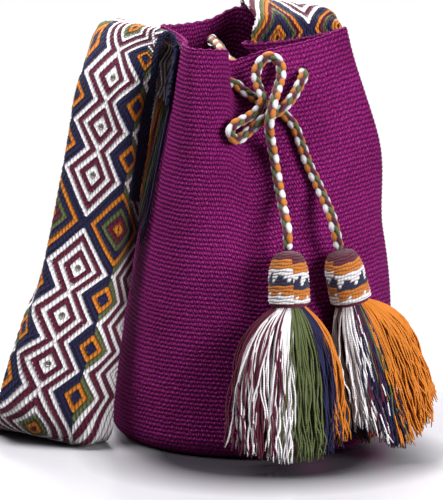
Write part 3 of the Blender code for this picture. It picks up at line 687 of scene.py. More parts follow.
def painted_finish(name):
    """Thread in colours that the piece itself carries, with fine fibres."""
    finish = Finish(name, roughness=0.8, sheen=0.25)
    colour = finish.attribute("paint", "Color")
    fuzz = finish.noise(finish.object_place(), 1500.0, 3.0)
    shaded = finish.mix(fuzz * 0.7, colour, PAINT_SHADE)
    return finish.done(finish.mix(0.55, colour, shaded), finish.bump(fuzz, 0.0005))


# Meshes from grids

# A direction that no thread runs in, to find the directions across each
NO_THREAD_RUNS = np.array([0.31, 0.87, 0.11])


def grid_faces(rows, columns):
    """Four-sided faces between neighbouring rows of a grid whose rows join end to start."""
    index = np.arange(rows * columns).reshape(rows, columns)
    index = np.hstack([index, index[:, :1]])
    corners = [index[:-1, :-1], index[:-1, 1:], index[1:, 1:], index[1:, :-1]]
    return np.stack(corners, axis=-1).reshape(-1, 4)


def make_piece(name, points, faces, finish, body, replaced, numbers=None, paint=None):
    """One finished piece: its mesh, named numbers and colours at its points, and what it replaces."""
    mesh = bpy.data.meshes.new(name)
    mesh.from_pydata(points.reshape(-1, 3).tolist(), [], faces)
    for label, values in (numbers or {}).items():
        layer = mesh.attributes.new(label, "FLOAT", "POINT")
        layer.data.foreach_set("value", np.ascontiguousarray(values, dtype=np.float32).ravel())
    if paint is not None:
        layer = mesh.attributes.new("paint", "FLOAT_COLOR", "POINT")
        opaque = np.concatenate([paint.reshape(-1, 3), np.ones((paint.size // 3, 1))], axis=1)
        layer.data.foreach_set("color", opaque.astype(np.float32).ravel())
    mesh.materials.append(finish)
    mesh.shade_smooth()
    piece = bpy.data.objects.new(name, mesh)
    bpy.context.scene.collection.objects.link(piece)
    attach(piece, body)
    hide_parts(*replaced)
    return piece


def sealed_tube(rings):
    """Faces of a tube whose first and last rings are closed by flat ends."""
    rows, columns = rings.shape[:2]
    faces = grid_faces(rows, columns).tolist()
    last = (rows - 1) * columns
    ends = [list(range(columns)), list(range(last, last + columns))[::-1]]
    return [face[::-1] for face in faces] + ends


def thread_tubes(paths, random, lightest_from):
    """Thin tubes, one round each line of points, with the numbers that their finish reads.

    Every thread gets its own shade, from lightest_from to 1, and its own place for its twist."""
    sides = THREAD_SIDES
    ahead = unit(np.gradient(paths, axis=1))
    aside = unit(np.cross(ahead, NO_THREAD_RUNS))
    third = np.cross(ahead, aside)
    count, steps = paths.shape[:2]
    share = np.arange(sides) / sides
    turn = (2 * math.pi * share)[:, None]
    spread = aside[:, :, None] * np.cos(turn) + third[:, :, None] * np.sin(turn)
    taper = np.ones(steps)
    taper[-1] = THREAD_TIP
    points = paths[:, :, None] + THREAD_RADIUS * taper[:, None, None] * spread
    ends = np.array([list(range(sides)), list(range((steps - 1) * sides, steps * sides))[::-1]])
    block = np.vstack([grid_faces(steps, sides)[:, ::-1], ends])
    faces = (block[None] + (np.arange(count) * steps * sides)[:, None, None]).reshape(-1, 4)
    lengths = np.linalg.norm(np.diff(paths, axis=1), axis=-1)
    along = np.concatenate([np.zeros((count, 1)), np.cumsum(lengths, axis=1)], axis=1)
    numbers = {
        "along": along[:, :, None],
        "turn": share,
        "tint": random.uniform(lightest_from, 1.0, (count, 1, 1)),
        "phase": random.random((count, 1, 1)),
    }
    spread_out = {label: np.broadcast_to(values, points.shape[:3]) for label, values in numbers.items()}
    return points, faces.tolist(), spread_out


# Bag body

# Rings in the base and in the floor inside, rings down the inside, and rings to a round of the wall
BASE_RINGS = 8
FLOOR_RINGS = 6
INSIDE_RINGS = 24
RINGS_PER_ROUND = 3

# Rings of the wall, less those that the lip takes up, and the innermost ring's radius
WALL_RINGS = RINGS_PER_ROUND * ROUNDS - 8
MIDDLE_RADIUS = 0.004

# The base's edge is a quarter circle, taken at these angles from straight down
EDGE_ANGLES = (18.0, 36.0, 54.0, 72.0)

# Relief of the wall: how deep the grooves between rounds lie, how high a round stands out of them,
# and how much more a stitch does
GROOVE_DEPTH = 0.00055
ROUND_SWELL = 0.00040
STITCH_SWELL = 0.00015

# The lip's rings: shares of the wall's thickness inwards and upwards, and rounds above the wall's
LIP = ((0.10, 0.30, 0.3), (0.35, 0.50, 0.6), (0.65, 0.50, 0.9), (0.92, 0.28, 1.2))

# The inside's first round above the wall's last, how many rounds go down it, and the round at the
# edge of the floor inside
INSIDE_ROUNDS = (1.5, 87.0)
FLOOR_ROUND = 180.0


def base_ring(radius, height, angle):
    """A level circle round the bag's middle."""
    level = np.full(len(angle), height)
    return np.stack([radius * np.cos(angle), radius * np.sin(angle), level], axis=-1)


def bag_rings():
    """Rings of the crochet from the base's middle, up the wall, over the lip and down inside.

    Each ring comes with its number of rounds from the base's middle, for the stitches. On the
    wall, a ring stands out by half a sine wave up each round, times a cosine round each stitch. The
    lip rises and falls by a cosine over every two stitches."""
    columns = 2 * STITCHES
    around = np.arange(columns) / columns
    rim_height = rim_point(around)[:, 2]
    rings, rounds = [], []
    angle = BASE_START_ANGLE + 2 * math.pi * around
    for radius in np.linspace(MIDDLE_RADIUS, BASE_RADIUS - BASE_EDGE_RADIUS, BASE_RINGS):
        rings.append(base_ring(radius, 0.0, angle))
        rounds.append(radius / ROUND_PITCH)
    for turn in EDGE_ANGLES:
        inset = BASE_EDGE_RADIUS * (1 - math.sin(math.radians(turn)))
        height = BASE_EDGE_RADIUS * (1 - math.cos(math.radians(turn)))
        rings.append(wall_point(around, height, -inset))
        rounds.append(FIRST_WALL_ROUND - BASE_EDGE_RADIUS * math.radians(90.0 - turn) / ROUND_PITCH)
    wall_rounds = np.arange(WALL_RINGS) / RINGS_PER_ROUND
    for count in wall_rounds:
        height = BASE_EDGE_RADIUS + (rim_height - BASE_EDGE_RADIUS) * count / wall_rounds[-1]
        crest = math.sin(math.pi * (count % 1.0))
        beat = 0.5 - 0.5 * np.cos(2 * math.pi * (around * STITCHES + ROUND_LAG * math.floor(count)))
        relief = ROUND_SWELL * crest + STITCH_SWELL * beat * crest
        rings.append(wall_point(around, height, relief - GROOVE_DEPTH))
        rounds.append(FIRST_WALL_ROUND + count)
    top = FIRST_WALL_ROUND + wall_rounds[-1]
    scallop = 0.70 + 0.30 * np.cos(2 * math.pi * around * STITCHES / 2)
    for inset, rise, more in LIP:
        lip = wall_point(around, rim_height, -WALL * inset)
        lip[:, 2] += WALL * rise * scallop
        rings.append(lip)
        rounds.append(top + more)
    inner_low = FLOOR_THICKNESS + BASE_EDGE_RADIUS / 2
    for share in np.linspace(1.0, 0.0, INSIDE_RINGS):
        height = inner_low + (rim_height - inner_low) * share
        rings.append(wall_point(around, height, -WALL))
        rounds.append(top + INSIDE_ROUNDS[0] + INSIDE_ROUNDS[1] * (1.0 - share))
    inner_edge = BASE_RADIUS - WALL - BASE_EDGE_RADIUS / 2
    for radius in np.linspace(inner_edge, MIDDLE_RADIUS, FLOOR_RINGS):
        rings.append(base_ring(radius, FLOOR_THICKNESS, angle))
        rounds.append(FLOOR_ROUND + (inner_edge - radius) / ROUND_PITCH)
    return np.array(rings), np.array(rounds)


def map_stitches(mesh, rounds, columns):
    """The crochet's own map: one unit is one stitch round, and one round up.

    The last column's faces join the first's, so their corners there count on past a whole turn."""
    first = len(rounds) * columns
    corner = np.empty(len(mesh.loops), dtype=np.int32)
    mesh.loops.foreach_get("vertex_index", corner)
    stitch = np.where(corner < first, corner % columns, 0) / columns
    row = np.where(corner < first, corner // columns, 0)
    starts = np.empty(len(mesh.polygons), dtype=np.int32)
    totals = np.empty(len(mesh.polygons), dtype=np.int32)
    mesh.polygons.foreach_get("loop_start", starts)
    mesh.polygons.foreach_get("loop_total", totals)
    widest = np.maximum.reduceat(stitch, starts)
    wraps = np.repeat(widest > 0.75, totals) & (stitch < 0.25)
    values = np.stack([(stitch + wraps) * STITCHES, rounds[row]], axis=-1)
    values[corner == first, 1] = rounds[0] - 1
    values[corner == first + 1, 1] = rounds[-1] + 1
    layer = mesh.uv_layers.new(name="UVMap")
    layer.data.foreach_set("uv", values.astype(np.float32).ravel())


def make_bag():
    """The bag's crochet, closed at the base's middle and the floor's, with four eyelets cut in it."""
    rings, rounds = bag_rings()
    rows, columns = rings.shape[:2]
    middles = np.array([[0.0, 0.0, 0.0], [0.0, 0.0, FLOOR_THICKNESS]])
    points = np.vstack([rings.reshape(-1, 3), middles])
    here = np.arange(columns)
    ahead = np.roll(here, -1)
    top = (rows - 1) * columns
    lower = np.stack([np.full(columns, rows * columns), ahead, here], axis=-1)
    upper = np.stack([np.full(columns, rows * columns + 1), top + here, top + ahead], axis=-1)
    faces = grid_faces(rows, columns).tolist() + lower.tolist() + upper.tolist()
    piece = make_piece("bag_crochet", points, faces, crochet_finish(), "bag", ["bag_body"])
    map_stitches(piece.data, rounds, columns)
    cut_eyelets(piece)


def cut_eyelets(piece):
    """Round holes straight through the wall, where the drawstring passes."""
    for place, (around, share) in enumerate(EYELETS):
        bpy.ops.mesh.primitive_cylinder_add(vertices=24, radius=EYELET_RADIUS, depth=5 * WALL)
        cutter = bpy.context.object
        normal = wall_normal(np.array(around), np.array(share * BAG_HEIGHT))
        cutter.rotation_euler = Vector((*normal, 0.0)).to_track_quat("Z", "Y").to_euler()
        cutter.location = wall_point(around, share * BAG_HEIGHT, -WALL / 2)
        bpy.context.view_layer.update()
        hole = piece.modifiers.new(f"eyelet_{place}", "BOOLEAN")
        hole.operation = "DIFFERENCE"
        hole.solver = "EXACT"
        hole.object = cutter
        bpy.context.view_layer.objects.active = piece
        bpy.ops.object.modifier_apply(modifier=hole.name)
        bpy.data.objects.remove(cutter)


# Strap

# Distances from the strap's middle line, from its outer edge to its bag-side edge
ACROSS_STRAP = np.linspace(-STRAP_WIDTH / 2, STRAP_WIDTH / 2, 67)

# Steps across a bent row, and samples between two sections of the strap
BEND_STEPS = 60
SECTION_STEPS = 20

# Heading of a row that leans on the ground at the left, from its outer edge towards the bag
LEANING_HEADING = (0.98, -0.20)


def shares_along_wall(around, height, offset, distances, samples):
    """Shares of the way round at level distances along the wall from a place on it."""
    shares = around + np.linspace(-0.25, 0.25, samples)
    along = lengths_along(wall_point(shares, height, offset))
    return np.interp(distances, along - along[samples // 2], shares)


def row_on_wall(around, height, slope, offset):
    """One crosswise row that lies along the wall. slope is in degrees, 0 for level."""
    slope = math.radians(slope)
    arounds = shares_along_wall(around, height, offset, ACROSS_STRAP * math.cos(slope), 151)
    return wall_point(arounds, height + ACROSS_STRAP * math.sin(slope), offset)


def row_beside_wall(around, height, slope, offset):
    """One straight crosswise row, at a distance from the wall at its middle."""
    normal = wall_normal(np.array(around), np.array(height))
    level = math.cos(math.radians(slope))
    direction = np.array([-normal[1] * level, normal[0] * level, math.sin(math.radians(slope))])
    return wall_point(around, height, offset) + ACROSS_STRAP[:, None] * direction


def row_leaning(x_share, y_share, lean):
    """One straight row with its outer edge on the ground, raised by lean degrees towards the bag."""
    level = math.cos(math.radians(lean))
    x, y = LEANING_HEADING
    direction = np.array([x * level, y * level, math.sin(math.radians(lean))])
    middle_height = STRAP_GROUND + STRAP_WIDTH / 2 * direction[2]
    middle = np.array([x_share * BASE_RADIUS, y_share * BASE_RADIUS, middle_height])
    return middle + ACROSS_STRAP[:, None] * direction


def row_bent(edge, headings, places, width):
    """One crosswise row from the bag-side edge, which follows the headings in turn.

    The line is the running sum of the headings, which blend by a smooth step round each place."""
    share = np.linspace(0.0, 1.0, BEND_STEPS + 1)[:, None]
    heading = np.tile(np.array(headings[0]), (len(share), 1))
    for turn, place in zip(headings[1:], places):
        blend = smooth_step((share - place) / width + 0.5)
        heading = (1 - blend) * heading + blend * np.array(turn)
    heading *= STRAP_WIDTH / BEND_STEPS / np.linalg.norm(heading, axis=1, keepdims=True)
    steps = np.cumsum(0.5 * (heading[1:] + heading[:-1]), axis=0)
    line = np.array(edge) + np.vstack([np.zeros(3), steps])
    pick = np.linspace(1.0, 0.0, len(ACROSS_STRAP))
    return np.stack([np.interp(pick, share[:, 0], column) for column in line.T], axis=-1)


def row_hanging(around, height, standoff, angles, inner_rise=0.0, outer_rise=0.0):
    """One crosswise row of the hanging strap, creased lengthwise and curled back at its outer edge."""
    edge = wall_point(around, height, standoff)
    slopes = (inner_rise, outer_rise, outer_rise)
    headings = [(-math.cos(math.radians(angle)), math.sin(math.radians(angle)), rise)
                for angle, rise in zip(angles, slopes)]
    return row_bent(edge, headings, (CREASE_PLACE, CURL_PLACE), CREASE_WIDTH)


def end_height(end):
    """Height of the middle of a sewn end's lower edge."""
    return float(rim_point(np.array(end[0]))[2]) - STRAP_SEWN_LENGTH


def left_part_sections():
    """Rows from the left sewn end, over the ridge and down to the ground at the front left."""
    around, slope = LEFT_END[:2]
    low = end_height(LEFT_END)
    rim = low + STRAP_SEWN_LENGTH
    return [
        row_on_wall(around, low, slope, SEWN_OFFSET),
        row_on_wall(around, low + 0.5 * STRAP_SEWN_LENGTH, slope, SEWN_OFFSET),
        row_on_wall(around, rim - 0.004, slope, SEWN_OFFSET),
        row_hanging(0.842, rim + 0.004, 0.0040, (68, 68, 68), 0.02, 0.02),
        row_hanging(0.842, rim + 0.010, 0.0080, (57, 57, 57), 0.04, 0.03),
        row_hanging(0.835, rim, 0.0145, (44, 46, 66), 0.06, 0.05),
        row_hanging(0.815, 0.86 * BAG_HEIGHT, 0.0145, (-24, 36, 88), 0.03, 0.03),
        row_hanging(0.797, 0.70 * BAG_HEIGHT, 0.0110, (-55, 14, 92)),
        row_hanging(0.797, 0.48 * BAG_HEIGHT, 0.0105, (-60, 8, 88)),
        row_hanging(0.818, 0.28 * BAG_HEIGHT, 0.0100, (-42, 4, 70)),
        row_hanging(0.822, 0.115 * BAG_HEIGHT, 0.0120, (-38, 6, 34), -0.10, 0.10),
        row_hanging(0.822, STRAP_GROUND + 0.013, 0.0130, (-40, 12, 14), -0.22, 0.20),
        row_hanging(0.816, STRAP_GROUND + 0.005, 0.0130, (-34, 14, 14), -0.20, 0.19),
        row_hanging(0.802, STRAP_GROUND, 0.0115, (-12, 18, 18), 0.0, 0.10),
    ]


def back_part_sections():
    """Rows along the ground on the left and up round the back, leaning against the bag."""
    standing = STRAP_GROUND + STRAP_WIDTH / 2
    return [
        row_leaning(-1.50, -0.17, 2.0),
        row_leaning(-1.50, 0.12, 12.0),
        row_leaning(-1.42, 0.42, 38.0),
        row_leaning(-1.25, 0.68, 66.0),
        row_beside_wall(0.618, standing, 86.0, 0.022),
        row_beside_wall(0.580, standing + 0.012, 76.0, 0.012),
        row_on_wall(0.537, 0.29 * BAG_HEIGHT, 62.0, 0.0080),
        row_on_wall(0.505, 0.43 * BAG_HEIGHT, 47.0, 0.0085),
        row_beside_wall(0.490, 0.60 * BAG_HEIGHT, 34.0, 0.0100),
        row_beside_wall(0.488, 0.78 * BAG_HEIGHT, 22.0, 0.0105),
        row_beside_wall(0.492, 0.90 * BAG_HEIGHT, 16.0, 0.0110),
    ]


def right_part_sections():
    """Rows of the arch over the rim at the back right, with a rolled outer edge, and of the right
    sewn end, which wraps round the corner of the bag's fold."""
    around, slope = RIGHT_END[:2]
    low = end_height(RIGHT_END)
    rim = low + STRAP_SEWN_LENGTH
    offset = SEWN_OFFSET + FOLD_CLEARANCE
    roll = ((0.76,), 0.32)
    wrap = ((0.80,), 0.36)
    return [
        row_bent((-0.0085, 0.0810, rim + 0.011), ((0.98, -0.02, -0.14), (0.80, -0.20, -0.55)), *roll),
        row_bent((-0.0075, 0.0680, rim + 0.022), ((0.98, 0.00, -0.12), (0.40, 0.10, -0.90)), *roll),
        row_bent((-0.0060, 0.0500, rim + 0.025), ((0.98, 0.04, -0.12), (0.15, 0.62, -0.76)), *roll),
        row_bent((-0.0015, 0.0330, rim + 0.020), ((0.96, 0.22, -0.12), (-0.35, 0.85, -0.45)), *roll),
        row_bent((0.0030, 0.0215, rim + 0.013), ((0.94, 0.33, -0.12), (-0.75, 0.62, -0.30)), *wrap),
        row_on_wall(around, rim - 0.009, slope, offset),
        row_on_wall(around, low + 0.5 * STRAP_SEWN_LENGTH, slope, offset),
        row_on_wall(around, low, slope, offset),
    ]


def strap_middle():
    """The strap's middle surface, in evenly spaced rows."""
    sections = np.array(left_part_sections() + back_part_sections() + right_part_sections())
    dense = open_curve(sections, SECTION_STEPS)
    length = lengths_along(dense[:, dense.shape[1] // 2])[-1]
    return evenly(dense, int(length / ROW_STEP) + 1), length


def figure_places():
    """Places of the middle figures and of the side ones, each with how far it is drawn out.

    Side figures stand beside each joint of two diamonds, and large ones beside each gap."""
    steps = [FIGURE_STEPS[first + second] for first, second in zip(FIGURES, FIGURES[1:])]
    places = np.array(list(accumulate(steps, initial=FIRST_FIGURE)))
    kinds = np.array(list(FIGURES))
    offsets = np.array([FIGURE_OFFSETS[kind] for kind in FIGURES])
    middle = kinds != "g"
    joint = middle[:-1] & middle[1:]
    joints = 0.5 * (places[:-1] + offsets[:-1] + places[1:] - offsets[1:])[joint]
    side_places = np.concatenate([joints, places[~middle]])
    side_offsets = np.concatenate([np.zeros(len(joints)), offsets[~middle]])
    return places[middle], offsets[middle], side_places, side_offsets


def figure_fields(along, across):
    """For each point, in pattern units: distance from the nearest middle and side figure, counted across
    plus along, and across less along, for the beads of the ropes. The arch field is 1 where the arch's
    colours lie, and the edging field is 1 where the navy edging lies, which is painted shade along the
    bag-side edge."""
    places, offsets, side_places, side_offsets = figure_places()
    from_middle = (np.abs(along[..., None] - places) - offsets).min(axis=-1)
    from_side = (np.abs(along[..., None] - side_places) - side_offsets).min(axis=-1)
    column = np.abs(np.abs(across) - SIDE_COLUMN)
    return {
        "chain": np.abs(across) + from_middle,
        "chain_lean": np.abs(across) - from_middle,
        "side": column + from_side,
        "side_lean": column - from_side,
        "across": across,
        "arch": along > ARCH_START,
        "shade_edging": (along > SHADE_EDGING_SPAN[0]) & (along < SHADE_EDGING_SPAN[1]),
    }


# Relief of the strap: how far its grooves lie in, how much its ropes swell, how wide its edges are
# rounded, and the scallops of the edges, with the rows that one takes
GROOVE_SINK = 0.0004
ROPE_SWELL = 0.0007
EDGE_ROUNDING = 0.0018
SCALLOP_DEPTH = 0.0006
SCALLOP_ROWS = 2.5

# Rows on either side over which the lean of the weave is smoothed
LEAN_REACH = 20


def settle(middle, run):
    """Moves the middle surface to where its weight draws it, more towards the edges."""
    at, outer_in, inner_in, sink = np.array(SETTLING).T
    share = ACROSS_STRAP / (STRAP_WIDTH / 2)
    middle[..., 0] += np.interp(run, at, outer_in)[:, None] * np.clip(-share, 0.0, 1.0) ** 1.5
    middle[..., 0] += np.interp(run, at, inner_in)[:, None] * np.clip(share, 0.0, 1.0) ** 1.5
    middle[..., 2] -= np.interp(run, at, sink)[:, None]


def weave_fields(run, side, ahead):
    """The figures' fields over the strap, where the weave puts them.

    The rows lean where the strap hangs aslant, so the pattern's rows are turned back square to its
    length by the cosine between the two directions, smoothed along the strap."""
    lean = (side * ahead).sum(axis=-1).mean(axis=1)
    window = np.hanning(2 * LEAN_REACH + 1)
    lean = np.convolve(np.pad(lean, LEAN_REACH, mode="edge"), window / window.sum(), "valid")
    places, counts, shifts, slants, outer_units, inner_units = np.array(WEAVE).T
    distance = run[:, None] + (lean + np.interp(run, places, slants))[:, None] * ACROSS_STRAP
    offset = ACROSS_STRAP - np.interp(distance, places, shifts)
    outer = np.interp(distance, places, outer_units)
    inner = np.interp(distance, places, inner_units)
    return figure_fields(np.interp(distance, places, counts), offset / np.where(offset > 0, inner, outer))


def strap_faces(rows, columns):
    """Faces of a ribbon whose rings run along its front and back again, with both ends closed."""
    faces = grid_faces(rows, 2 * columns).tolist()
    end = np.arange(columns - 1)
    back = 2 * columns - 1 - end
    strip = np.stack([end, end + 1, back - 1, back], axis=-1)
    return faces + strip[:, ::-1].tolist() + (strip + (rows - 1) * 2 * columns).tolist()


def make_strap():
    """The strap as one closed ribbon: its middle surface, moved out to both faces.

    Its half thickness swells by a cosine across each rope and falls off as a quarter circle at
    the edges, which are scalloped by a cosine along the strap."""
    middle, length = strap_middle()
    run = np.linspace(0.0, length, len(middle))
    settle(middle, run)
    side = unit(np.gradient(middle, axis=1))
    ahead = unit(np.gradient(middle, axis=0))
    normal = unit(np.cross(ahead, side))
    fields = weave_fields(run, side, ahead)
    from_edge = (STRAP_WIDTH / 2 - np.abs(ACROSS_STRAP)) / EDGE_ROUNDING
    roundness = np.sqrt(1 - np.clip(1 - from_edge, 0.0, 0.96) ** 2)
    rope = np.where(fields["chain"] < CHAIN_REACH, fields["chain"], fields["side"] - 0.5)
    rope = 0.5 + 0.5 * np.cos(2 * math.pi * rope)
    half = (STRAP_THICKNESS / 2 - GROOVE_SINK + ROPE_SWELL * rope) * roundness
    front = middle + normal * half[..., None]
    back = middle - normal * half[..., None]
    scallop = SCALLOP_DEPTH * np.cos(2 * math.pi * np.arange(len(middle)) / SCALLOP_ROWS)[:, None]
    for face in (front, back):
        face[:, 0] -= side[:, 0] * scallop
        face[:, -1] += side[:, -1] * scallop
    rings = np.concatenate([front, back[:, ::-1]], axis=1)
    numbers = {name: np.concatenate([values, values[:, ::-1]], axis=1) for name, values in fields.items()}
    piece = make_piece("patterned_strap", rings, strap_faces(*middle.shape[:2]), strap_finish(), "bag",
                       ["shoulder_strap"], numbers)
    return piece, length


# Drawstring

def carried(previous, direction):
    """A direction across the path, turned as little as can be from the one before it."""
    across = previous - direction * float(previous @ direction)
    return across / math.sqrt(float(across @ across))


def tube_frames(path):
    """Two directions across a path at each of its points, which turn as little as can be."""
    ahead = unit(np.gradient(path, axis=0))
    start = unit(np.cross(ahead[0], np.array([0.3, 0.3, 1.3])))
    aside = np.array(list(accumulate(ahead[1:], carried, initial=start)))
    return aside, np.cross(ahead, aside)


def braid_floats(turn, along, start_turn, start_along, lean, half_width):
    """Height of one set of floats, 1 at their crests and 0 at their edges, and a number for each.

    A float is a leaning grain: 1 less the square of its share across and the 1.7 power of its
    share along."""
    column = np.round((turn - start_turn) * 2)
    place = np.round((along - start_along) / (BRAID_TURN / 2))
    aside = (turn - start_turn - column / 2) * math.pi * CORD_DIAMETER
    ahead = along - start_along - place * BRAID_TURN / 2
    onward = ahead * math.cos(lean) + aside * math.sin(lean)
    across = aside * math.cos(lean) - ahead * math.sin(lean)
    height = 1 - (across / half_width) ** 2 - np.abs(onward / FLOAT_HALF_LENGTH) ** 1.7
    return np.clip(height, 0.0, 1.0), ((column + place) % 2).astype(int)


def ball_ends(path):
    """The path drawn out straight past both ends, and how far past an end the added points are."""
    past = CORD_BALL * np.linspace(0.0, 0.99, 10)[1:]
    before = path[0] + past[:, None] * unit(path[0] - path[1])
    after = path[-1] + past[:, None] * unit(path[-1] - path[-2])
    return np.vstack([before[::-1], path, after]), past


def make_drawstring():
    """Round braid: four columns of floats, white and orange in turn, green and maroon between.

    Its radius grows with the root of the floats' height, and falls as a quarter circle past the
    ends."""
    dense = open_curve(np.array(CORD_ROUTE), CURVE_STEPS)
    length = lengths_along(dense)[-1]
    path = evenly(dense, int(length / CORD_STEP))
    line, past = ball_ends(path)
    along = np.concatenate([-past[::-1], np.linspace(0.0, length, len(path)), length + past])[:, None]
    over = np.concatenate([past[::-1], np.zeros(len(path)), past])[:, None]
    turn = np.arange(CORD_SIDES) / CORD_SIDES
    first, first_number = braid_floats(turn, along, 0.25, 0.0, FLOAT_LEAN, BROAD_FLOAT)
    second, second_number = braid_floats(turn, along, 0.0, BRAID_TURN / 4, -FLOAT_LEAN, NARROW_FLOAT)
    second = LOWER_FLOATS * second
    height = np.sqrt(np.maximum(first, second))
    radius = CORD_DIAMETER / 2 * (CORD_CORE + CORD_SWELL * height) * np.sqrt(1 - (over / CORD_BALL) ** 2)
    aside, third = tube_frames(line)
    angle = 2 * math.pi * turn[:, None]
    spread = aside[:, None] * np.cos(angle) + third[:, None] * np.sin(angle)
    rings = line[:, None] + radius[..., None] * spread
    palettes = [np.array([THREAD[name] for name in names]) for names in CORD_COLOURS]
    paint = np.where((first > second)[..., None], palettes[0][first_number], palettes[1][second_number])
    # Painted shade: each float darkens towards its edges, in the grooves between floats
    paint = paint * (FLOAT_GROOVE_SHADE + (1 - FLOAT_GROOVE_SHADE) * height[..., None])
    piece = make_piece("braided_drawstring", rings, sealed_tube(rings), painted_finish("cord_braid"),
                       "bag", ["drawstring"], paint=paint)


# Tassels

def pivot_frame(side):
    """Where a tassel hangs, with -Z down the tassel and +Y away from the bag, as in the CAD model."""
    angle, facing, lean, tuck, tips = TASSELS[side][:5]
    radius = BASE_RADIUS + CAP_RADIUS + WALL_CLEARANCE - tuck
    lean, tilt, angle, facing = (math.radians(value) for value in (lean, TASSEL_TILT, angle, facing))
    outward = Vector((math.sin(facing), -math.cos(facing), 0.0))
    up = Vector((0.0, 0.0, 1.0))
    turn = Matrix((outward.cross(up), outward, up)).transposed()
    turn = turn @ Matrix.Rotation(lean, 3, "Y") @ Matrix.Rotation(tilt, 3, "X")
    height = tips + SKIRT_BOTTOM * math.cos(lean) * math.cos(tilt)
    return np.array(turn), np.array([radius * math.sin(angle), -radius * math.cos(angle), height])


def placed(points, side):
    """Points in a tassel's own frame, brought to where it hangs."""
    turn, place = pivot_frame(side)
    return points @ turn.T + place


def cap_profile():
    """Radius and height of the cap's outer face, from the top down, at even steps."""
    top = -CORD_TO_CAP
    outer = np.array([
        (0.0006, top - 0.0007), (0.0030, top - 0.0008), (0.36 * CAP_RADIUS, top - 0.0011),
        (0.62 * CAP_RADIUS, top - 0.0030), (0.80 * CAP_RADIUS, top - 0.0076),
        (0.92 * CAP_RADIUS, top - 0.38 * CAP_HEIGHT), (0.965 * CAP_RADIUS, top - 0.70 * CAP_HEIGHT),
        (0.98 * CAP_RADIUS, -CAP_BOTTOM + 0.0006),
    ])
    return evenly(open_curve(outer, 12), CAP_ROWS)


def cap_rounds(side, turn, share):
    """Number of the round at each place of a cap, by its turn and its share of the profile.

    The rounds climb as one spiral, so each band ends a step below its start, and they waver by a
    sine wave, seven times in a turn."""
    worked = share > CAP_DISC
    rounds = np.clip((share - CAP_DISC) / (1 - CAP_DISC), 0.0, 0.9999) * CAP_ROUNDS
    rounds = rounds + CAP_CLIMB * fraction(turn - CAP_SEAM[side]) * worked
    rounds = rounds + CAP_WAVER * np.sin(2 * math.pi * 7 * turn + 2.0 * rounds) * worked
    return np.clip(rounds, 0.0, len(CAP_PICTURE) - 0.001)


def make_cap(side):
    """Crocheted cap: rounds of plump stitches on a turned profile, coloured stitch by stitch.

    A stitch's height is a power of half a sine wave up its round, times one along it. Below the
    last round the cap turns in and up again inside, to the skirt's neck."""
    profile = cap_profile()
    turn = np.arange(5 * CAP_STITCHES) / (5 * CAP_STITCHES)
    share = np.linspace(0.0, 1.0, len(profile))[:, None]
    rounds = cap_rounds(side, turn, share)
    row = np.floor(rounds)
    stitch = turn * CAP_STITCHES + 0.6 * fraction(np.sin(row * 12.9) * 43.7) + 0.5 * fraction(rounds)
    plump = np.sin(math.pi * fraction(rounds)) ** 0.6
    plump = plump * (0.55 + 0.45 * np.abs(np.sin(math.pi * stitch)) ** 0.8) * (share > CAP_DISC + 0.01)
    radius = np.maximum(profile[:, :1] + CAP_RELIEF * (plump - 0.75), 0.0004)
    height = np.tile(profile[:, 1:], (1, len(turn)))
    picture = np.array([[THREAD[CAP_THREADS[letter]] for letter in letters] for letters in CAP_PICTURE])
    paint = picture[row.astype(int), np.floor(stitch).astype(int) % picture.shape[1]]
    # Painted shade between the stitches, slightly lighter on their crests
    paint = paint * (0.25 + 0.80 * plump[..., None])
    inner = ((CAP_RADIUS - 0.0012, -CAP_BOTTOM), (CAP_RADIUS - CAP_WALL, -CAP_BOTTOM + 0.0006),
             (CAP_RADIUS - CAP_WALL, -CAP_BOTTOM + 0.0080), (0.0040, -CAP_BOTTOM + 0.0090))
    radius = np.vstack([radius] + [np.full((1, len(turn)), out) for out, _ in inner])
    height = np.vstack([height] + [np.full((1, len(turn)), level) for _, level in inner])
    # Painted shade on the cap's turned-in inside
    paint = np.concatenate([paint, np.repeat(paint[-1:] * 0.4, len(inner), axis=0)])
    angle = 2 * math.pi * turn
    rings = np.stack([radius * np.cos(angle), radius * np.sin(angle), height], axis=-1)
    make_piece(f"tassel_{side}_crochet_cap", placed(rings, side), sealed_tube(rings),
               painted_finish(f"cap_pattern_{side}"), f"tassel_{side}",
               [f"tassel_{side}_cap"], paint=paint)


def make_binding(side, finish):
    """Thread wound round the neck, under the cap, as a helix."""
    share = np.linspace(0.0, 1.0, 120)
    angle = 2 * math.pi * WOUND_TURNS * share
    ring = NECK_RADIUS + WOUND_OUT
    height = -CAP_BOTTOM - WOUND_START - WOUND_DROP * share
    line = np.stack([ring * np.cos(angle), ring * np.sin(angle), height], axis=-1)
    points, faces, numbers = thread_tubes(placed(line, side)[None], np.random.default_rng(5), 0.8)
    make_piece(f"tassel_{side}_wound_thread", points, faces, finish, f"tassel_{side}",
               [f"tassel_{side}_binding"], numbers)


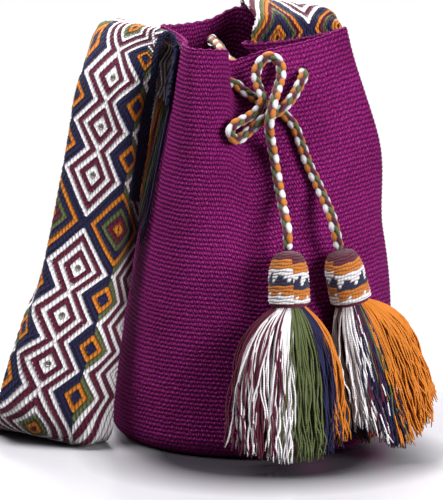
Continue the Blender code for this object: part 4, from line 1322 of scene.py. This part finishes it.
def thread_places(start, stop, count, behind, random):
    """For each thread of a hank: its place across the skirt, its pull to a lock, its drift, whether
    it is in front, and its depth there, from 0 at the middle to 1.

    Strays come last, on top of the rest. They have no lock and drift far to one side."""
    stray = max(3, count // THREADS_PER_STRAY)
    total = count + stray
    place = random.uniform(start, stop, total)
    locks = random.uniform(start - 0.05, stop + 0.05, max(3, int((stop - start) / LOCK_WIDTH)))
    lock = locks[np.abs(place[:, None] - locks).argmin(axis=1)]
    pull = (lock - place) * random.uniform(*LOCK_PULL, total)
    drift = random.normal(0.0, DRIFT, total)
    drift[count:] = random.choice([-1, 1], stray) * random.uniform(*STRAY_DRIFT, stray)
    pull[count:] = 0.0
    in_front = random.random(total) > behind
    in_front[count:] = behind < 0.9
    layer = np.sqrt(random.uniform(0.30, 0.95, total))
    layer[random.random(total) < 0.30] = 0.98
    layer[count:] = 1.0
    return (values[:, None] for values in (place, pull, drift, in_front, layer))


def skirt_lines(side, start, stop, count, behind, random):
    """Threads of one hank, from under the cap to their uneven tips.

    A thread's place across moves by its pull times half a sine wave down it, and by its drift. The
    skirt's half widths and depths grow from the neck's with 1 - exp(-6 x), x the share of its
    length. Two sine waves, a slow and a quick one, make each thread waver."""
    left_half, right_half, fan = TASSELS[side][5:]
    place, pull, drift, in_front, layer = thread_places(start, stop, count, behind, random)
    total = len(place)
    end = SKIRT_BOTTOM * (1 - np.abs(random.normal(0.0, UNEVENNESS, total)))[:, None]
    top = CAP_BOTTOM - 0.003
    depth = top + (end - top) * np.linspace(0.0, 1.0, 20)
    below = np.clip((depth - SKIRT_TOP) / (SKIRT_BOTTOM - SKIRT_TOP), 0.0, 1.0)
    spread = (1 - np.exp(-6 * below)) * (1 - SKIRT_FLARE * (1 - below))
    across = place + pull * np.sin(math.pi * below**0.8) + drift * below
    across = np.clip(across, -SKIRT_EDGE, SKIRT_EDGE)
    half = np.where(across < 0, left_half, right_half)
    width = NECK_RADIUS + (half - NECK_RADIUS) * spread
    front = NECK_RADIUS + (SKIRT_FRONT_DEPTH - NECK_RADIUS) * spread
    back = NECK_RADIUS + (CAP_RADIUS + SKIRT_BACK_EXTRA - NECK_RADIUS) * spread
    arch = np.sqrt(1 - across**2)
    phase = random.uniform(0, 2 * math.pi, (4, total, 1))
    wave = random.uniform(*WAVER, (total, 1)) * below
    slow = depth * random.uniform(*SLOW_RATE, (total, 1))
    quick = depth * random.uniform(*QUICK_RATE, (total, 1))
    sway = np.sin(slow + phase[0]) + QUICK_SHARE * np.sin(quick + phase[1])
    rock = np.sin(slow + phase[2]) + QUICK_SHARE * np.sin(quick + phase[3])
    x = -across * width * (0.25 + 0.75 * layer) + wave * sway
    y = np.where(in_front, front * arch, -back * arch) * layer
    y = y + np.where(in_front, 1.0, 0.3) * wave * rock
    z = -depth + (depth - CAP_BOTTOM).clip(0.0) * fan * across**2 * spread
    return np.stack([x, y, np.minimum(z, -CAP_BOTTOM + 0.004)], axis=-1)


def make_tassel(side, finishes):
    """The cap, its binding and the hanks of one tassel."""
    make_cap(side)
    make_binding(side, finishes["maroon"])
    for number, (colour, *hank) in enumerate(SKIRTS[side]):
        random = np.random.default_rng(40 + number + (20 if side == "right" else 0))
        lines = skirt_lines(side, *hank, random)
        points, faces, numbers = thread_tubes(placed(lines, side), random, 0.4)
        make_piece(f"tassel_{side}_{colour}_threads", points, faces, finishes[colour],
                   f"tassel_{side}", [f"tassel_{side}_{colour}"], numbers)


# Fringe

def fringe_lines(end, first, width, count, random):
    """Loose threads that hang down the wall from a sewn end, in twos and threes that part again.

    They stand off the wall more towards their tips, and waver by sine waves along and off it."""
    around, slope, gap = end
    slope = math.radians(slope)
    across = first + width * (np.sort(random.random(count)) * 0.9 + 0.05)
    locks = first + width * FRINGE_LOCKS
    lock = locks[np.abs(across[:, None] - locks).argmin(axis=1)]
    pull = random.uniform(*FRINGE_PULL, count)
    reach = FRINGE_LENGTH * (1 - np.abs(random.normal(0.0, FRINGE_UNEVENNESS, count)))
    phase = random.uniform(0, 2 * math.pi, (2, count))
    rate = random.uniform(*FRINGE_RATE, (2, count))
    stand = random.uniform(0.0, FRINGE_STAND, count)
    lines = []
    for share in np.linspace(0.0, 1.0, 16):
        drop = reach * share
        place = across + (lock - across) * pull * math.sin(math.pi * share**0.7)
        sway, rock = (size * np.sin(drop * rate[k] + phase[k]) for k, size in enumerate(FRINGE_WAVER))
        place = place * (1 - 0.35 * share) + share * sway
        height = end_height(end) - gap + 0.002 - drop
        level = float(height.mean())
        arounds = shares_along_wall(around, level, FRINGE_GAP, place * math.cos(slope), 201)
        off = 0.0014 + stand * share**0.7 + rock
        lines.append(wall_point(arounds, height + place * math.sin(slope), off))
    return np.stack(lines, axis=1)


def make_fringe(side, end, finishes):
    """One piece for each colour of the threads below a sewn end."""
    width = STRAP_WIDTH / len(FRINGE_COLOURS)
    for number, colour in enumerate(FRINGE_COLOURS):
        random = np.random.default_rng(70 + number + (10 if side == "right" else 0))
        lines = fringe_lines(end, -STRAP_WIDTH / 2 + number * width, width, FRINGE_THREADS, random)
        points, faces, numbers = thread_tubes(lines, random, 0.2)
        make_piece(f"fringe_{side}_{colour}_threads", points, faces, finishes[colour], "bag",
                   [f"fringe_{side}_{colour}"], numbers)


# Floor, lights and camera

FLOOR_COLOUR = (0.66, 0.65, 0.69)
# Colour of the painted shadow on the floor close to the bag
FLOOR_PAINTED_SHADOW = (0.05, 0.045, 0.055)
FLOOR_BOUNCE = (0.10, 0.10, 0.10)
FLOOR_REACH = 3.0

# The floor fades to white from this distance on, over this length
FADE_START = 0.27
FADE_LENGTH = 0.25

# The painted shadow under the bag and tassels: its middle, its half widths, and the shares of them where it
# starts to grow pale and how far that goes
SHADOW_MIDDLE = (0.01, -0.08)
SHADOW_HALF = (0.12, 0.11)
SHADOW_START = 0.60
SHADOW_EDGE = 0.55

# Square lamps, which all aim at one point: name, place, side in metres, and power in watts
LIGHT_AIM = (0.0, 0.0, 0.15)
LIGHTS = (
    ("front_right", (1.20, -1.00, 0.62), 0.70, 40.0),
    ("above_left", (-0.90, -0.25, 1.10), 0.60, 13.0),
    ("above", (-0.40, -0.15, 1.30), 0.60, 10.0),
    ("above_behind", (-0.10, 0.80, 1.15), 0.60, 28.0),
)
WORLD_LIGHT = 0.05

# The photograph's camera, fitted in its pixels: its height, focal length and shifts
PHOTO_HEIGHT = 500.0
FOCAL_LENGTH = 2730.0
SHIFT = (-29.5, -34.0)
FILM = 36.0
CAMERA_PLACE = (0.0, -1.995, 0.476)
CAMERA_AIM = (0.0, 0.0, 0.160)


def aimed(place, aim):
    """Turn of a lamp or camera that stands at a place and looks at an aim."""
    return (Vector(aim) - Vector(place)).to_track_quat("-Z", "Y").to_euler()


def make_floor():
    """Glossy pale floor with a painted shadow close to the bag, which fades to plain white away from it."""
    finish = Finish("pale_floor", roughness=0.22, specular=0.35)
    x, y = finish.parts(finish.object_place())[:2]
    distance = (x * x + y * y) ** 0.5
    fade = ((distance - FADE_START) / FADE_LENGTH).clamped()
    shadow_x = (x - SHADOW_MIDDLE[0]) / SHADOW_HALF[0]
    shadow_y = (y - SHADOW_MIDDLE[1]) / SHADOW_HALF[1]
    shadow_reach = (shadow_x ** 2.0 + shadow_y ** 2.0) ** 0.5
    # Painted shadow: the floor darkens towards the middle of the pool under the bag and tassels
    pale = finish.mix(((shadow_reach - SHADOW_START) / SHADOW_EDGE).clamped(), FLOOR_PAINTED_SHADOW, FLOOR_COLOUR)
    camera = finish.node("ShaderNodeLightPath", output="Is Camera Ray")
    glossy = finish.node("ShaderNodeLightPath", output="Is Glossy Ray")
    seen = camera.larger(glossy)
    finish.done(finish.mix(seen, FLOOR_BOUNCE, pale))
    glow = finish.node("ShaderNodeEmission", None, {"Color": (1.0, 1.0, 1.0, 1.0), "Strength": 1.0})
    both = finish.node("ShaderNodeMixShader", None,
                       {0: fade * seen, 1: Value(finish, finish.shader.outputs[0]), 2: glow})
    finish.feed(finish.tree.nodes["Material Output"].inputs["Surface"], both)
    mesh = bpy.data.meshes.new("floor")
    corners = [(x * FLOOR_REACH, y * FLOOR_REACH, 0) for x, y in ((-1, -1), (1, -1), (1, 1), (-1, 1))]
    mesh.from_pydata(corners, [], [(0, 1, 2, 3)])
    mesh.materials.append(finish.material)
    floor = bpy.data.objects.new("floor", mesh)
    bpy.context.scene.collection.objects.link(floor)


def make_light(name, place, size, power):
    """One square lamp."""
    lamp = bpy.data.lights.new(name, "AREA")
    lamp.energy = power
    lamp.size = size
    holder = bpy.data.objects.new(name, lamp)
    holder.location = place
    holder.rotation_euler = aimed(place, LIGHT_AIM)
    bpy.context.scene.collection.objects.link(holder)


def make_world():
    """White to the camera, and a faint grey light on the bag."""
    world = bpy.data.worlds.new("studio")
    bpy.context.scene.world = world
    world.use_nodes = True
    nodes, links = world.node_tree.nodes, world.node_tree.links
    back = nodes["Background"]
    back.inputs["Color"].default_value = (1.0, 1.0, 1.0, 1.0)
    path = nodes.new("ShaderNodeLightPath")
    seen = nodes.new("ShaderNodeMath")
    seen.operation = "MULTIPLY_ADD"
    seen.inputs[1].default_value = 1.0 - WORLD_LIGHT
    seen.inputs[2].default_value = WORLD_LIGHT
    links.new(path.outputs["Is Camera Ray"], seen.inputs[0])
    links.new(seen.outputs[0], back.inputs["Strength"])


def make_camera():
    """The photograph's view, from 2.02 m and 9 degrees above level."""
    camera = bpy.data.cameras.new("camera")
    camera.sensor_fit = "AUTO"
    camera.sensor_width = FILM
    camera.lens = FILM * FOCAL_LENGTH / PHOTO_HEIGHT
    camera.shift_x = SHIFT[0] / PHOTO_HEIGHT
    camera.shift_y = SHIFT[1] / PHOTO_HEIGHT
    camera.clip_start = 0.05
    camera.clip_end = 20.0
    holder = bpy.data.objects.new("camera", camera)
    holder.location = CAMERA_PLACE
    holder.rotation_euler = aimed(CAMERA_PLACE, CAMERA_AIM)
    bpy.context.scene.collection.objects.link(holder)
    bpy.context.scene.camera = holder


make_camera()
make_drawstring()
make_bag()
strap, strap_length = make_strap()
finishes = {name: thread_finish(f"{name}_thread", colour) for name, colour in THREAD.items()}
for side in TASSELS:
    make_tassel(side, finishes)
make_fringe("left", LEFT_END, finishes)
make_fringe("right", RIGHT_END, finishes)
make_floor()
for light in LIGHTS:
    make_light(*light)
make_world()
bpy.context.scene.view_settings.view_transform = "Standard"
